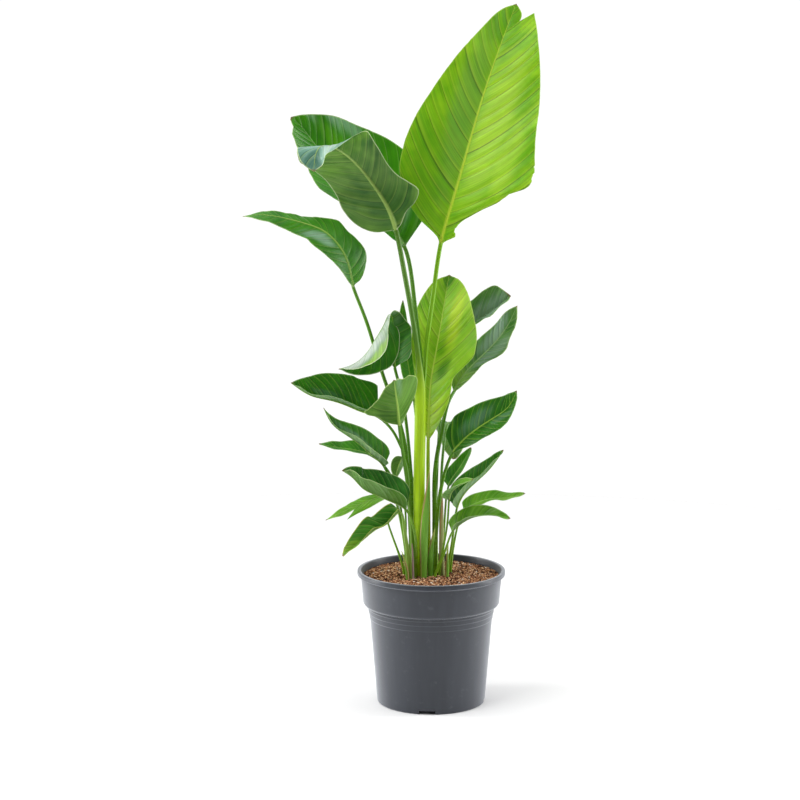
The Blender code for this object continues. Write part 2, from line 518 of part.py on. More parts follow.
LEAVES = [
    dict(name="leaf_crown", colour="bright", k=4, base=(-1.8, -0.35), radius=0.46, neck=0.34, hole=0.0,
         stalk=[(-1.9, -0.45, 33.3), (-1.7, -0.45, 43.1), (-1.45, -0.35, 50.0), (-1.15, -0.3, 54.5),
                (-0.75, -0.5, 59.4), (0.3, -0.8, 67.4)],
         rib=[(1.4, -1.0, 74.9), (3.3, -1.0, 81.7), (6.0, 0.0, 91.1), (8.6, 1.0, 99.7), (11.3, 2.5, 107.3),
              (13.3, 4.6, 112.3)],
         faces=(-0.1, -1.0, 0.2), lift=[14, 12, 10, 8, 8], wave=0.3, extra_rows=(0.905, 0.915),
         left=[(1.2, 1.2), (2.0, 2.9), (3.2, 4.5), (4.6, 6.2), (7.4, 8.4), (9.5, 9.6), (12.7, 10.0),
               (18.0, 9.4), (22.4, 8.1), (26.3, 6.8), (30.4, 5.3), (34.8, 3.4), (38.3, 1.6), (39.9, 0.1)],
         right=[(0.8, 1.0), (1.2, 2.1), (2.9, 1.9), (6.3, 4.4), (9.2, 7.6), (11.0, 9.0), (11.6, 10.2),
                (12.9, 11.4), (14.2, 11.6), (17.0, 10.9), (20.1, 10.2), (23.6, 9.6), (27.3, 8.6), (30.8, 7.4),
                (34.9, 5.6), (39.7, 3.0), (36.9, 1.4), (37.6, 1.6), (38.6, 1.4), (39.3, 0.8),
                (39.9, 0.1)]),
    dict(name="leaf_front_upper", colour="grey", k=4, base=(-1.85, -0.4), radius=0.52, neck=0.38, hole=0.82,
         stalk=[(-2.0, -0.6, 33.4), (-1.85, -0.8, 44.9), (-1.85, -1.1, 52.0), (-2.1, -1.6, 56.5),
                (-3.3, -2.3, 64.4), (-4.6, -3.2, 71.6)],
         rib=[(-5.7, -4.0, 77.2), (-7.1, -4.5, 81.0), (-9.4, -5.0, 84.6), (-11.5, -6.3, 87.3),
              (-14.2, -9.2, 89.8), (-16.1, -11.6, 90.7), (-17.3, -13.4, 90.5), (-17.9, -14.7, 89.2),
              (-18.1, -15.3, 87.0)],
         faces=(0.25, 0.85, 0.45), lift_left=[(0, 18), (0.4, 10), (0.6, 12), (0.72, 2), (0.9, -15), (1, 0)],
         lift_right=[(0, -8), (0.25, -16), (0.5, -18), (0.8, -15), (1, 0)],
         curl_left=[(0, 0), (0.46, 0), (0.62, -65), (0.72, -60), (0.84, 0), (1, 0)],
         lean=[(0, -25), (0.12, 20), (0.33, 35), (0.5, 38), (0.67, 42), (0.83, 48), (1, 57)],
         twist=[(0, 0), (0.62, 0), (0.75, 22), (0.85, 45), (0.92, 52), (1, 52)], wave=0.25,
         sheath=dict(stops=(0.07, 0.25, 0.45, 0.57, 0.62, 0.66), share=[(0, 0), (0.57, 0), (0.66, 1), (1, 1)],
                     size=[(0, 0.82), (0.08, 0.82), (0.2, 0.94), (0.57, 0.92), (0.62, 0.80), (1, 0.6)],
                     half_turn=[(0, 150), (0.3, 140), (0.5, 105), (0.57, 95), (0.66, 70), (1, 70)]),
         left=[(0.5, 0.8), (2.2, 2.3), (3.4, 4.6), (4.7, 5.6), (6.0, 4.9), (7.6, 4.1), (9.6, 4.0),
               (12.3, 4.3), (15.5, 4.8), (18.5, 5.7), (21.0, 5.0), (23.5, 3.0), (25.4, 1.3), (26.4, 0.1)],
         right=[(0.1, 1.2), (0.4, 3.4), (2.0, 5.5), (5.3, 6.8), (9.7, 6.0), (12.1, 5.8), (15.0, 5.9),
                (17.5, 5.6), (20.1, 5.6), (21.8, 4.6), (23.5, 3.1), (25.4, 1.9), (26.4, 0.1)]),
    dict(name="leaf_back_upper", colour="dark", k=4, base=(-1.8, 1.5), radius=0.45, neck=0.33,
         stalk=[(-1.8, 1.3, 33.0), (-1.7, 0.9, 44.5), (-1.7, 0.6, 54.3), (-2.8, 0.6, 65.6)],
         rib=[(-4.4, 1.3, 74.2), (-7.0, 2.6, 77.3), (-9.9, 3.6, 80.3), (-13.1, 4.0, 83.6), (-16.2, 4.0, 87.1),
              (-19.1, 3.4, 90.9), (-20.6, 2.7, 92.9), (-22.3, 2.0, 94.6)],
         faces=(0.15, -0.9, 0.35), lift_left=[50, 45, 40, 40, 40], lift_right=[10, 8, 5, 5, 5], wave=0.25,
         left=[(0.5, 1.2), (0.9, 2.0), (3.7, 3.3), (7.8, 4.4), (12.9, 6.3), (16.5, 7.3), (18.8, 6.4),
               (21.5, 5.0), (24.2, 4.2), (26.1, 3.5), (27.3, 1.8), (27.8, 0.06)],
         right=[(0.3, 1.3), (0.9, 3.0), (2.0, 4.6), (4.5, 7.4), (8.0, 10.3), (10.2, 10.9), (12.4, 10.4),
                (15.6, 9.4), (18.8, 8.1), (22.4, 6.2), (25.0, 3.7), (26.6, 1.7), (27.8, 0.06)]),
    dict(name="leaf_far_left", colour="mid", k=3, base=(-3.1, 1.0), radius=0.36, neck=0.28,
         stalk=[(-3.6, 1.0, 33.1), (-4.4, 1.0, 42.9), (-6.2, 0.7, 49.0), (-8.3, 0.5, 55.2),
                (-10.5, 0.2, 62.5)],
         rib=[(-12.5, 0.0, 67.8), (-12.9, -0.5, 69.7), (-13.5, -1.0, 72.2), (-14.7, -1.4, 74.5),
              (-17.0, -1.8, 76.8), (-20.1, -2.0, 78.1), (-23.6, -2.0, 79.0), (-26.9, -1.5, 79.4),
              (-29.9, -0.5, 79.1)],
         faces=(0.4, -0.3, 0.85), lift_left=[-10, -30, -35, -35, -25, -20],
         lift_right=[42, 40, 26, 14, 10, 15, 20], wave=0.12,
         lean=[5, 20, 35, 38, 42, 48, 57],
         left=[(1.0, 0.8), (3.4, 2.1), (5.8, 3.1), (10.0, 3.8), (14.5, 2.6), (18.5, 1.6), (21.5, 1.1),
               (24.1, 0.1)],
         right=[(0.2, 0.6), (0.7, 1.9), (3.0, 3.6), (4.6, 4.0), (6.4, 3.7), (8.4, 3.2), (10.0, 3.3),
                (11.5, 2.6), (13.5, 2.1), (17.5, 1.3), (21.0, 1.0), (24.1, 0.1)]),
    dict(name="leaf_middle", colour="bright", k=4, base=(-0.5, 1.0), radius=0.46, neck=0.28,
         stalk=[(-0.5, 1.5, 33.0)],
         rib=[(-0.5, 2.4, 42.8), (-0.3, 2.8, 47.6), (-0.1, 3.2, 51.5), (0.8, 3.7, 57.1), (1.6, 4.2, 61.6),
              (2.3, 5.5, 65.7), (2.9, 7.5, 69.0)],
         faces=(-0.2, -1.0, 0.1), lift_left=[10, 0, -5, 0, 5], lift_right=[30, 25, 20, 15, 15], wave=0.2,
         left=[(1.0, 0.7), (3.1, 1.5), (9.4, 2.6), (15.4, 4.3), (20.2, 4.6), (23.6, 3.6), (26.2, 2.0),
               (27.6, 0.06)],
         right=[(1.0, 1.0), (4.2, 2.8), (8.1, 4.1), (10.3, 4.4), (12.5, 6.3), (14.4, 7.6), (16.7, 7.3),
                (21.1, 5.6), (24.8, 3.6), (26.8, 1.7), (27.6, 0.06)]),
    dict(name="leaf_right_back", colour="mid", k=3, base=(0.5, 2.2), radius=0.25, neck=0.2,
         stalk=[(0.8, 2.6, 32.8), (1.3, 4.0, 44.1), (2.1, 5.5, 52.1)],
         rib=[(3.2, 7.0, 57.6), (5.0, 8.0, 59.8), (7.6, 9.0, 61.4), (10.4, 9.4, 63.2), (13.0, 9.0, 65.4)],
         faces=(-0.4, -0.5, 0.8), lift_left=[60, 65, 60, 50], lift_right=[30, 25, 25, 25], wave=0.15,
         left=[(1.0, 1.0), (4.0, 3.0), (7.0, 3.3), (9.9, 3.7), (12.0, 3.2), (12.9, 1.6), (13.2, 0.06)],
         right=[(0.6, 1.4), (1.6, 3.0), (4.3, 3.8), (8.2, 1.9), (11.4, 1.2), (13.2, 0.06)]),
    dict(name="leaf_right_high", colour="mid", k=3, base=(0.6, 1.25), radius=0.56, neck=0.26,
         stalk=[(0.6, 1.35, 31.3), (0.65, 1.8, 37.8), (1.7, 2.9, 44.3), (2.8, 3.9, 48.7)],
         rib=[(3.7, 5.0, 50.2), (5.0, 6.0, 52.3), (7.0, 7.0, 54.5), (9.5, 8.0, 56.8), (11.6, 8.5, 59.2),
              (13.0, 8.5, 61.5), (14.0, 8.0, 63.9)],
         faces=(-0.5, -0.5, 0.6), lift_left=[40, 30, 25, 30], lift_right=[10, -10, -20, -10], wave=0.15,
         left=[(1.0, 1.0), (4.0, 2.4), (9.5, 2.6), (12.5, 2.3), (15.5, 1.8), (17.2, 0.8), (18.1, 0.06)],
         right=[(1.0, 1.0), (2.6, 1.7), (6.9, 1.7), (9.4, 2.5), (11.2, 2.4), (12.8, 1.7), (15.5, 1.3),
                (18.1, 0.06)]),
    dict(name="leaf_right_mid", colour="dark", k=3, base=(0.4, -0.4), radius=0.46, neck=0.24,
         stalk=[(0.9, 0.1, 30.0), (1.6, 1.1, 35.1), (2.4, 2.0, 38.1)],
         rib=[(3.5, 2.7, 40.6), (4.7, 2.8, 42.0), (5.8, 2.5, 43.2), (8.3, 1.5, 45.3), (10.6, 0.5, 47.0),
              (12.4, 0.0, 48.6), (13.6, -0.5, 51.2)],
         faces=(-0.3, -0.8, 0.5), lift=[25, 20, 15, 15], wave=0.14,
         left=[(0.6, 1.4), (1.4, 2.5), (3.2, 3.6), (6.8, 3.5), (10.9, 2.7), (13.2, 1.9), (15.3, 0.06)],
         right=[(0.6, 0.8), (3.4, 2.4), (7.2, 3.0), (10.5, 2.7), (13.0, 1.3), (15.3, 0.06)]),
    dict(name="leaf_tent", colour="grey", k=3, base=(-2.5, 2.4), radius=0.33, neck=0.25,
         stalk=[(-3.0, 2.2, 32.9), (-3.8, 2.8, 43.0), (-4.9, 3.2, 50.5)],
         rib=[(-5.9, 3.3, 54.3), (-6.2, 3.4, 57.3), (-6.3, 3.1, 60.6), (-6.5, 2.2, 62.8), (-7.0, 0.8, 63.1),
              (-7.6, -0.2, 61.9), (-9.0, -1.2, 59.6), (-10.0, -1.8, 58.0), (-11.4, -2.4, 56.5),
              (-13.0, -2.9, 55.6), (-14.8, -3.2, 55.1)],
         faces=(-0.6, 0.4, 0.65), facing_at=0.75, lift=[-10, -20, -45, -50, -45, -40], wave=0.08,
         lean=[(0, 0), (0.1, 10), (0.3, -3), (0.45, 0), (0.6, 20), (0.8, 45), (1, 57)],
         left=[(0.5, 1.6), (1.2, 3.6), (3.3, 4.3), (4.9, 3.9), (6.4, 3.3), (7.6, 2.3), (8.6, 1.7), (9.8, 1.2),
               (11.2, 1.2), (12.6, 1.6), (14.4, 3.0), (16.7, 4.1), (18.9, 3.1), (20.0, 2.3), (21.6, 1.2),
               (22.9, 0.06)],
         right=[(0.7, 0.9), (2.2, 2.0), (4.5, 2.2), (6.5, 1.6), (8.5, 1.5), (10.5, 2.0), (12.4, 3.4),
                (14.5, 4.6), (16.8, 4.9), (18.6, 3.9), (20.7, 2.0), (21.9, 0.9), (22.9, 0.06)]),
    dict(name="leaf_tent_back", colour="mid", k=2, base=(-1.4, 2.9), radius=0.22, neck=0.18,
         width=1.7,
         stalk=[(-1.7, 3.9, 32.7), (-2.2, 5.5, 42.6)],
         rib=[(-3.1, 6.6, 50.6), (-4.1, 7.1, 56.5), (-4.6, 7.2, 61.0), (-4.6, 7.2, 64.9)],
         faces=(0.1, -1.0, 0.1), lift=[20, 20]),
    dict(name="leaf_left_long", colour="mid", k=3, base=(-3.0, 0.1), radius=0.28, neck=0.22,
         stalk=[(-3.2, 0.1, 31.8), (-3.9, 0.0, 39.6), (-5.0, 0.0, 42.2), (-6.1, 0.0, 44.4)],
         rib=[(-8.6, 0.0, 46.9), (-11.0, -0.5, 47.8), (-13.5, -1.0, 48.9), (-16.4, -1.5, 49.9),
              (-19.3, -2.0, 50.7), (-22.4, -2.5, 52.8)],
         faces=(0.1, -0.45, 0.9), lift=[58, 58, 55, 50], wave=0.12,
         left=[(0.8, 0.8), (3.0, 1.3), (8.0, 1.5), (12.0, 1.3), (14.4, 0.7), (15.4, 0.06)],
         right=[(0.6, 1.6), (1.4, 3.4), (2.6, 4.6), (4.5, 5.0), (8.4, 4.3), (11.0, 3.7), (13.2, 2.6),
                (14.7, 1.2), (15.4, 0.06)]),
    dict(name="leaf_left_broad", colour="grey", k=3, base=(-2.9, -1.0), radius=0.33, neck=0.26,
         stalk=[(-3.3, -1.0, 30.4), (-4.0, -1.2, 37.0), (-4.7, -2.2, 42.0)],
         rib=[(-5.2, -4.0, 46.2), (-5.4, -7.3, 49.2), (-5.7, -11.0, 52.1), (-6.0, -15.0, 55.1)],
         faces=(0.0, 0.6, 0.8), lift_right=[-10, -5, 0, 10], lift_left=[50, 60, 62, 50], wave=0.15,
         lean=[-25, -5, 15, 28, 45, 60],
         left=[(0.4, 1.6), (1.2, 3.2), (3.0, 5.0), (5.6, 5.9), (8.0, 4.6), (10.3, 2.6), (12.6, 1.0),
               (13.9, 0.06)],
         right=[(0.4, 1.0), (1.3, 2.2), (3.0, 3.4), (4.0, 5.0), (4.6, 5.3), (5.4, 4.6), (7.3, 3.4),
                (11.2, 1.5), (13.9, 0.06)]),
    dict(name="leaf_left_a", colour="mid", k=3, base=(-3.8, -0.7), radius=0.25, neck=0.2,
         width=3.2,
         stalk=[(-4.7, 0.0, 28.5), (-5.9, 0.1, 33.9)],
         rib=[(-7.6, -0.9, 38.9), (-9.4, -2.4, 41.0), (-11.6, -3.8, 43.2), (-13.8, -5.0, 45.0),
              (-15.7, -5.5, 46.6), (-17.1, -6.0, 49.3)],
         faces=(0.4, -0.5, 0.75), lift=[50, 50, 45], wave=0.12, outline=(0.22, 0.9)),
    dict(name="leaf_left_b", colour="mid", k=2, base=(-4.0, 0.8), radius=0.22, neck=0.17,
         width=2.2,
         stalk=[(-4.5, 0.9, 28.2), (-5.4, 1.0, 33.9), (-6.7, 1.0, 37.4)],
         rib=[(-8.5, 0.8, 39.6), (-11.5, 0.3, 41.2), (-14.7, 0.0, 41.8), (-18.1, 0.0, 42.5)],
         faces=(0.2, -0.4, 0.9), lift=[25, 20, 20], wave=0.1),
    dict(name="leaf_left_c", colour="mid", k=3, base=(-2.55, -1.9), radius=0.25, neck=0.2,
         width=4.0, right_scale=1.2,
         stalk=[(-2.5, -2.6, 26.4), (-3.0, -2.8, 29.9)],
         rib=[(-4.1, -2.6, 32.2), (-6.6, -2.9, 33.7), (-9.0, -3.2, 34.8), (-11.0, -3.4, 35.9),
              (-12.6, -3.5, 37.6), (-14.3, -3.6, 38.8)],
         faces=(0.35, -0.5, 0.8), lift_left=[70, 78, 72], lift_right=[45, 50, 45], wave=0.12,
         outline=(0.25, 0.8)),
    dict(name="leaf_left_behind", colour="dark", k=2, base=(-2.4, 3.6), radius=0.2, neck=0.16,
         width=1.6,
         stalk=[(-2.6, 4.0, 30.5), (-3.2, 4.6, 36.9)],
         rib=[(-4.2, 5.6, 39.2), (-5.2, 7.0, 38.0), (-5.8, 8.2, 35.4)],
         faces=(-0.2, 0.5, 0.8), lift=[10, 10]),
    dict(name="leaf_low_left_a", colour="light", k=3, base=(-4.0, 1.9), radius=0.2, neck=0.16,
         stalk=[(-4.1, 2.1, 28.0)],
         rib=[(-5.1, 2.2, 33.4), (-8.6, 1.2, 33.4), (-11.4, 0.2, 32.6), (-14.1, -1.0, 31.6),
              (-17.0, -2.0, 30.4)],
         faces=(0.0, -0.35, 0.95), lift_left=[0, -10, -15, -10], lift_right=[10, 10, 5], wave=0.08,
         lean=[45, 60, 62, 62], extra_rows=(0.64, 0.67),
         left=[(1.0, 0.7), (4.0, 1.3), (7.0, 1.7), (9.5, 2.1), (10.6, 2.3), (8.4, 0.6),
               (11.0, 0.6), (13.3, 0.2)],
         right=[(1.0, 0.8), (4.0, 1.1), (8.0, 1.1), (11.0, 0.7), (13.3, 0.2)]),
    dict(name="leaf_low_left_b", colour="yellow", k=3, base=(-3.4, -2.2), radius=0.55,
         neck=0.2, width=3.0,
         stalk=[(-3.8, -2.7, 25.4), (-4.4, -3.3, 29.5)],
         rib=[(-5.1, -3.9, 32.2), (-7.0, -4.9, 30.6), (-8.7, -5.6, 29.8), (-10.2, -6.3, 28.8),
              (-12.1, -7.0, 27.3), (-14.2, -7.3, 25.7)],
         faces=(0.1, -0.4, 0.9), lift=[55, 50, 40], wave=0.1),
    dict(name="leaf_low_left_back", colour="light", k=2, base=(-4.4, 0.0), radius=0.2,
         neck=0.16, width=1.6,
         stalk=[(-5.6, 0.8, 25.2)],
         rib=[(-7.2, 3.0, 29.5), (-6.9, 7.0, 29.7), (-6.1, 11.0, 29.0), (-4.7, 15.0, 27.7)],
         faces=(0.0, -0.2, 1.0), lift=[25, 20]),
    dict(name="leaf_right_a", colour="mid", k=2, base=(1.6, 1.8), radius=0.2, neck=0.16,
         width=1.9,
         stalk=[(2.2, 2.2, 29.4)],
         rib=[(2.8, 3.0, 34.9), (3.9, 3.5, 36.8), (5.2, 4.0, 38.7), (6.5, 5.0, 41.0)],
         faces=(-0.5, -0.6, 0.6), lift=[25, 20]),
    dict(name="leaf_right_b", colour="mid", k=3, base=(2.7, 0.6), radius=0.22, neck=0.18,
         width=2.8,
         stalk=[(3.3, 0.3, 25.8), (3.7, 0.0, 29.2)],
         rib=[(4.1, 0.0, 31.8), (4.8, -0.5, 33.7), (5.9, -1.0, 35.3), (7.8, -2.0, 37.3), (9.6, -3.0, 39.4),
              (11.4, -3.5, 42.1)],
         faces=(-0.45, -0.5, 0.75), lift=[50, 50, 40], wave=0.12),
    dict(name="leaf_right_c", colour="light", k=2, base=(1.3, -1.2), radius=0.2, neck=0.16,
         width=1.9,
         stalk=[(2.0, -1.6, 26.2), (2.6, -2.0, 30.4)],
         rib=[(2.8, -2.5, 33.8), (3.2, -4.0, 35.5), (4.4, -6.0, 36.9), (6.4, -8.5, 38.3)],
         faces=(-0.2, -0.4, 0.9), lift=[25, 20]),
    dict(name="leaf_low_right_a", colour="light", k=2, base=(3.2, 2.0), radius=0.2, neck=0.16,
         width=2.1,
         stalk=[(3.7, 2.8, 25.2), (4.4, 3.6, 28.4)],
         rib=[(5.4, 4.5, 30.5), (7.2, 5.0, 31.6), (9.7, 5.5, 32.3), (12.3, 5.5, 32.5), (15.4, 5.0, 33.4)],
         faces=(-0.1, -0.4, 0.9), lift=[25, 20], wave=0.1),
    dict(name="leaf_low_right_b", colour="mid", k=2, base=(0.6, -2.0), radius=0.22, neck=0.17,
         width=2.3,
         stalk=[(1.9, -2.3, 24.6)],
         rib=[(3.3, -2.2, 28.4), (4.6, -2.2, 29.8), (6.5, -3.2, 31.1), (9.0, -4.2, 31.7), (10.9, -4.8, 31.6),
              (12.5, -5.0, 31.3)],
         faces=(-0.1, -0.5, 0.85), lift=[40, 35], wave=0.1),
    dict(name="leaf_right_behind", colour="dark", k=3, base=(1.6, 3.2), radius=0.28, neck=0.22,
         width=3.7,
         stalk=[(1.6, 4.0, 32.5), (2.0, 5.5, 40.5)],
         rib=[(2.7, 7.5, 44.4), (3.4, 11.0, 43.6), (3.8, 14.0, 40.6), (3.9, 15.2, 37.2)],
         faces=(0.0, 0.3, 0.95), lift=[15, 10], wave=0.12),
]

# Leafless sheaths at the clump's foot: a thin wrap that closes toward the soil and opens to a torn tip


SHEATHS = [
    dict(name="sheath_tall", colour="sheath_pale", base=(-1.25, -2.1),
         line=[(-1.27, -2.12, 25.0), (-1.22, -2.15, 28.5), (-0.95, -2.1, 33.5), (-0.45, -1.9, 39.3)],
         size=[(0, 0.54), (0.18, 0.54), (0.32, 0.66), (0.5, 0.74), (0.65, 0.68), (0.85, 0.44), (1, 0.2)],
         half_turn=[(0, 150), (0.6, 125), (1, 70)], faces=(-0.95, 0.3, 0.0)),
    dict(name="sheath_green", colour="sheath_pale", base=(-0.2, -1.2),
         line=[(-0.15, -1.4, 25.0), (0.45, -1.6, 29.1)],
         size=[(0, 0.50), (0.3, 0.50), (0.55, 0.58), (0.85, 0.38), (1, 0.2)],
         half_turn=[(0, 150), (0.6, 120), (1, 70)], faces=(-0.8, 0.5, 0.0)),
    dict(name="sheath_tan", colour="sheath_dry", base=(1.75, -0.4),
         line=[(1.65, -0.45, 25.0), (1.65, -0.5, 29.5), (1.65, -0.4, 34.0)],
         size=[(0, 0.46), (0.5, 0.44), (0.8, 0.32), (1, 0.2)],
         half_turn=[(0, 150), (0.6, 110), (1, 60)], faces=(-0.6, 0.6, 0.0)),
    dict(name="sheath_left", colour="sheath_pale", base=(-3.85, -3.1),
         line=[(-4.15, -3.1, 23.4), (-4.7, -3.0, 25.6)],
         size=[(0, 0.33), (0.6, 0.30), (1, 0.18)],
         half_turn=[(0, 145), (0.6, 120), (1, 70)], faces=(0.9, 0.4, 0.0)),
    dict(name="sheath_right", colour="sheath_pale", base=(2.5, -1.2),
         line=[(2.5, -1.3, 24.0), (2.6, -1.4, 26.3)],
         size=[(0, 0.38), (0.6, 0.34), (1, 0.2)],
         half_turn=[(0, 145), (0.6, 115), (1, 70)], faces=(-0.8, 0.5, 0.0)),
    dict(name="sheath_dry", colour="sheath_purple", base=(-2.95, -2.95),
         line=[(-3.0, -3.0, 24.0), (-3.1, -3.1, 26.9)],
         size=[(0, 0.20), (0.6, 0.20), (1, 0.18)],
         half_turn=[(0, 120), (0.6, 90), (1, 60)], faces=(0.4, 0.9, 0.0)),
]


def build_sheath(sheath, mats, parent, holes):
    name = sheath["name"]
    x, y = sheath["base"]
    path = Path([(x, y, STANDING)], [(x, y, VERTICAL)] + list(sheath["line"]), sheath["faces"], 0.0)
    rings = []
    for u in (0.0, 0.17, 0.3, 0.6, 0.85, 1.0):
        place, t, side, n = path.at(u * path.end)
        big = between(sheath["size"], u)
        half_turn = between(sheath["half_turn"], u)
        arc = math.radians(half_turn) * (big - SHEATH_HALF)
        wrap = row_section((0, 1 / 3, 2 / 3, 1), (arc, arc), (0, 0), (half_turn, half_turn), 0,
                           SHEATH_HALF, SHEATH_HALF, spread=0.001)
        shift = big - SHEATH_HALF
        rings.append([place + side * a + n * (b - shift) + t * c for a, b, c in wrap])
    holes.append((name, x, y, sheath["size"][0][1]))
    origin = np.array([x, y, STANDING])
    verts, faces = skin([[p * CM for p in ring] for ring in rings], origin * CM)
    return make_object(name, verts, faces, mats[sheath["colour"]],
                       location=tuple(float(c) for c in origin * CM), parent=parent)


COLOURS = {
    "bright": (0.27, 0.52, 0.02),
    "grey": (0.12, 0.27, 0.07),
    "dark": (0.03, 0.14, 0.015),
    "mid": (0.07, 0.27, 0.025),
    "light": (0.16, 0.38, 0.05),
    "yellow": (0.32, 0.48, 0.10),
    "sheath_pale": (0.24, 0.36, 0.13),
    "sheath_dry": (0.36, 0.22, 0.11),
    "sheath_purple": (0.20, 0.12, 0.12),
}


def build():
    for obj in list(bpy.data.objects):
        bpy.data.objects.remove(obj, do_unlink=True)
    plant = bpy.data.objects.new("potted_plant", None)
    bpy.context.scene.collection.objects.link(plant)
    build_pot(plant)
    mats = {key: material("leaf_" + key, colour, 0.4) for key, colour in COLOURS.items()}
    holes = []
    for leaf in LEAVES:
        build_leaf(leaf, mats, plant, holes)
    for sheath in SHEATHS:
        build_sheath(sheath, mats, plant, holes)
    build_soil(plant, holes)


build()
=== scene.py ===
"""Potted bird of paradise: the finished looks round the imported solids.

Metres, +Z up, +X to the photograph's right, -Y to the front. Each leaf is drawn again along the same line
as its solid, row by row, with its folds, veins and midrib. The leaf tables are in centimetres.
"""
import math

import bpy
import numpy as np
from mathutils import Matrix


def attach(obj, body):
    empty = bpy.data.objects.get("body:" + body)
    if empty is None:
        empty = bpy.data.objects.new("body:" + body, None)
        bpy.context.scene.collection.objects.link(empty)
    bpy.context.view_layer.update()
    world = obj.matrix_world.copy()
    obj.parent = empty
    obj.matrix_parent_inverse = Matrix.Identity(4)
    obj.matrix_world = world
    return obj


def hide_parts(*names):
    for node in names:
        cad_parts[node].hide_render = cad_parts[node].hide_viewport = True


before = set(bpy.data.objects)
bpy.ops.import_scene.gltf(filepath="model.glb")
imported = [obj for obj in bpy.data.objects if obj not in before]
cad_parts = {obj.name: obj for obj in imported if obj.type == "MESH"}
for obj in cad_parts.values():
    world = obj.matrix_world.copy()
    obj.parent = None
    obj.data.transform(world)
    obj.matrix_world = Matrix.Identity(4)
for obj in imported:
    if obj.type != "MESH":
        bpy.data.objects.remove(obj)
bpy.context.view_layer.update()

CM = 0.01
SEED = 20

# Pot
POT_HEIGHT = 0.2185
RIM_RADIUS = 0.120
RIM_NECK = 0.1148
RIM_INSIDE = 0.1138
COLLAR_RADIUS = 0.1143
COLLAR_BULGE = 0.1122
COLLAR_FOOT_RADIUS = 0.1104
STEP_LIP = 0.1074
STEP_INSIDE = 0.1062
STEP_HEIGHT = 0.1615
COLLAR_TOP = POT_HEIGHT - 0.010
FOOT_RADIUS = 0.0876
FOOT_INSIDE = 0.0812
TAPER = 0.083
RINGS = (0.139, 0.148, 0.1555)
RING_RELIEF = 0.0009
RING_SLOPE = 0.0012
WALL = 0.0018
FLOOR_HEIGHT = 0.008
FLOOR_EDGE = 0.0800
PAD_RADIUS = 0.022
NOTCHES = 4
NOTCH_WIDTH = 0.027
NOTCH_HEIGHT = 0.006
NOTCH_TURN = math.radians(-5)
DRAIN_HOLES = 8
DRAIN_RADIUS = 0.005
DRAIN_CIRCLE = 0.058
CUT_PAST = 0.004
POT_SIDES = 160
DRAIN_SIDES = 24
PLAIN_WALL = (0.0085, 0.018, 0.045, 0.09, 0.114)

# Soil. Chip sizes are in millimetres, tilts in radians, and the main stem's place and reach in centimetres
SOIL_TOP = 0.2055
SOIL_RELIEF = 0.0022
SOIL_EDGE = 0.1108
SOIL_SIDE = 0.111
EDGE_DIP = 0.012
MOUND_HEIGHT = 0.0020
MOUND_REACH = 0.05
CHIPS = 15000
CHIP_LENGTH = (1.5, 4.4)
CHIP_WIDTH = (1.1, 2.6)
CHIP_THICKNESS = (0.7, 1.8)
CHIP_UNEVEN = 0.28
CHIP_TILT = 0.38
CHIP_LIFT = (-0.0002, 0.0030)
MAIN_STEM = ((-1.55, -0.4), 0.95)

# Leaves, in centimetres
HALF_THICK = 0.028
NARROWEST = 0.06
UNEVEN_MARGIN = 0.02
RIB_END = 0.045
RIB_REACH = 1.05
KEEL = 0.95
CROWN = 0.42
ARCH = 5.0
VEIN_BEND = 0.30
FRAYS_PER_CM = 2.1
PAINT_STREAK = 0.45
STANDING = 17.58
VERTICAL = 21.2
WAVE_TURNS = 2.6
WAVE_PHASES = (0.0, 0.37)
FULL_LIFT_WIDTH = 1.4
SHEATH_HALF = 0.05
FIRST_ROW = {4: 0.012, 3: 0.015, 2: 0.02}
COLUMNS = {4: 24, 3: 18, 2: 14}
ROW_STEP = {4: 0.19, 3: 0.15, 2: 0.14}
TONES = ("bloom", "dusk", "gold")
DRY_TIP = 0.35
TIP_HALF = 0.06
GROOVE = 0.30
GROOVE_WIDTH = 0.32
FOOT_SWELL = 0.12
SWELL_REACH = 4.0
SHEATH_END = 0.66
THIN_NECK = 0.7
LEAN = [25, 30, 35, 38, 42, 48, 57]
PADDLE = (0.22, 0.7)
SHEATH_COLUMNS = 14
SHEATH_ROWS = 40
NOISE_VALUES = 512

# Pattern scales, per metre, along the rib, out from it and through the leaf. Fine veins are under 0.3 mm
# apart and fibres under 0.5 mm on a real leaf, and coarser here so that they show
BLOTCHES = 24.0
BANDS = (130.0, 10.0, 0.0)
VEINS = (560.0, 14.0, 0.0)
FIBRES = (9.0, 900.0, 0.0)
SHEATH_FIBRES = (16.0, 1100.0, 0.0)
FLOW_STREAKS = (70.0, 70.0, 8.0)
MOULD_GRIT = 1400.0
SCUFFS = 60.0
BARK_BITS = 330.0
BARK_FIBRES = 900.0

# Inputs of Blender's Mix node for colours, which share their names with its other inputs
MIX_A = 6
MIX_B = 7
MIX_RESULT = 2

# Settings that many nodes share
SMOOTH = {"interpolation_type": "SMOOTHSTEP"}
BLEND = {"data_type": "RGBA"}
TIMES = {"operation": "MULTIPLY"}
PLUS = {"operation": "ADD"}
TIMES_PLUS = {"operation": "MULTIPLY_ADD"}
SCALED = {"operation": "SCALE"}


def linear(code):
    """An sRGB hex colour as linear red, green, blue and alpha."""
    values = [int(code[i:i + 2], 16) / 255 for i in (0, 2, 4)]
    return [v / 12.92 if v <= 0.04045 else ((v + 0.055) / 1.055) ** 2.4 for v in values] + [1.0]


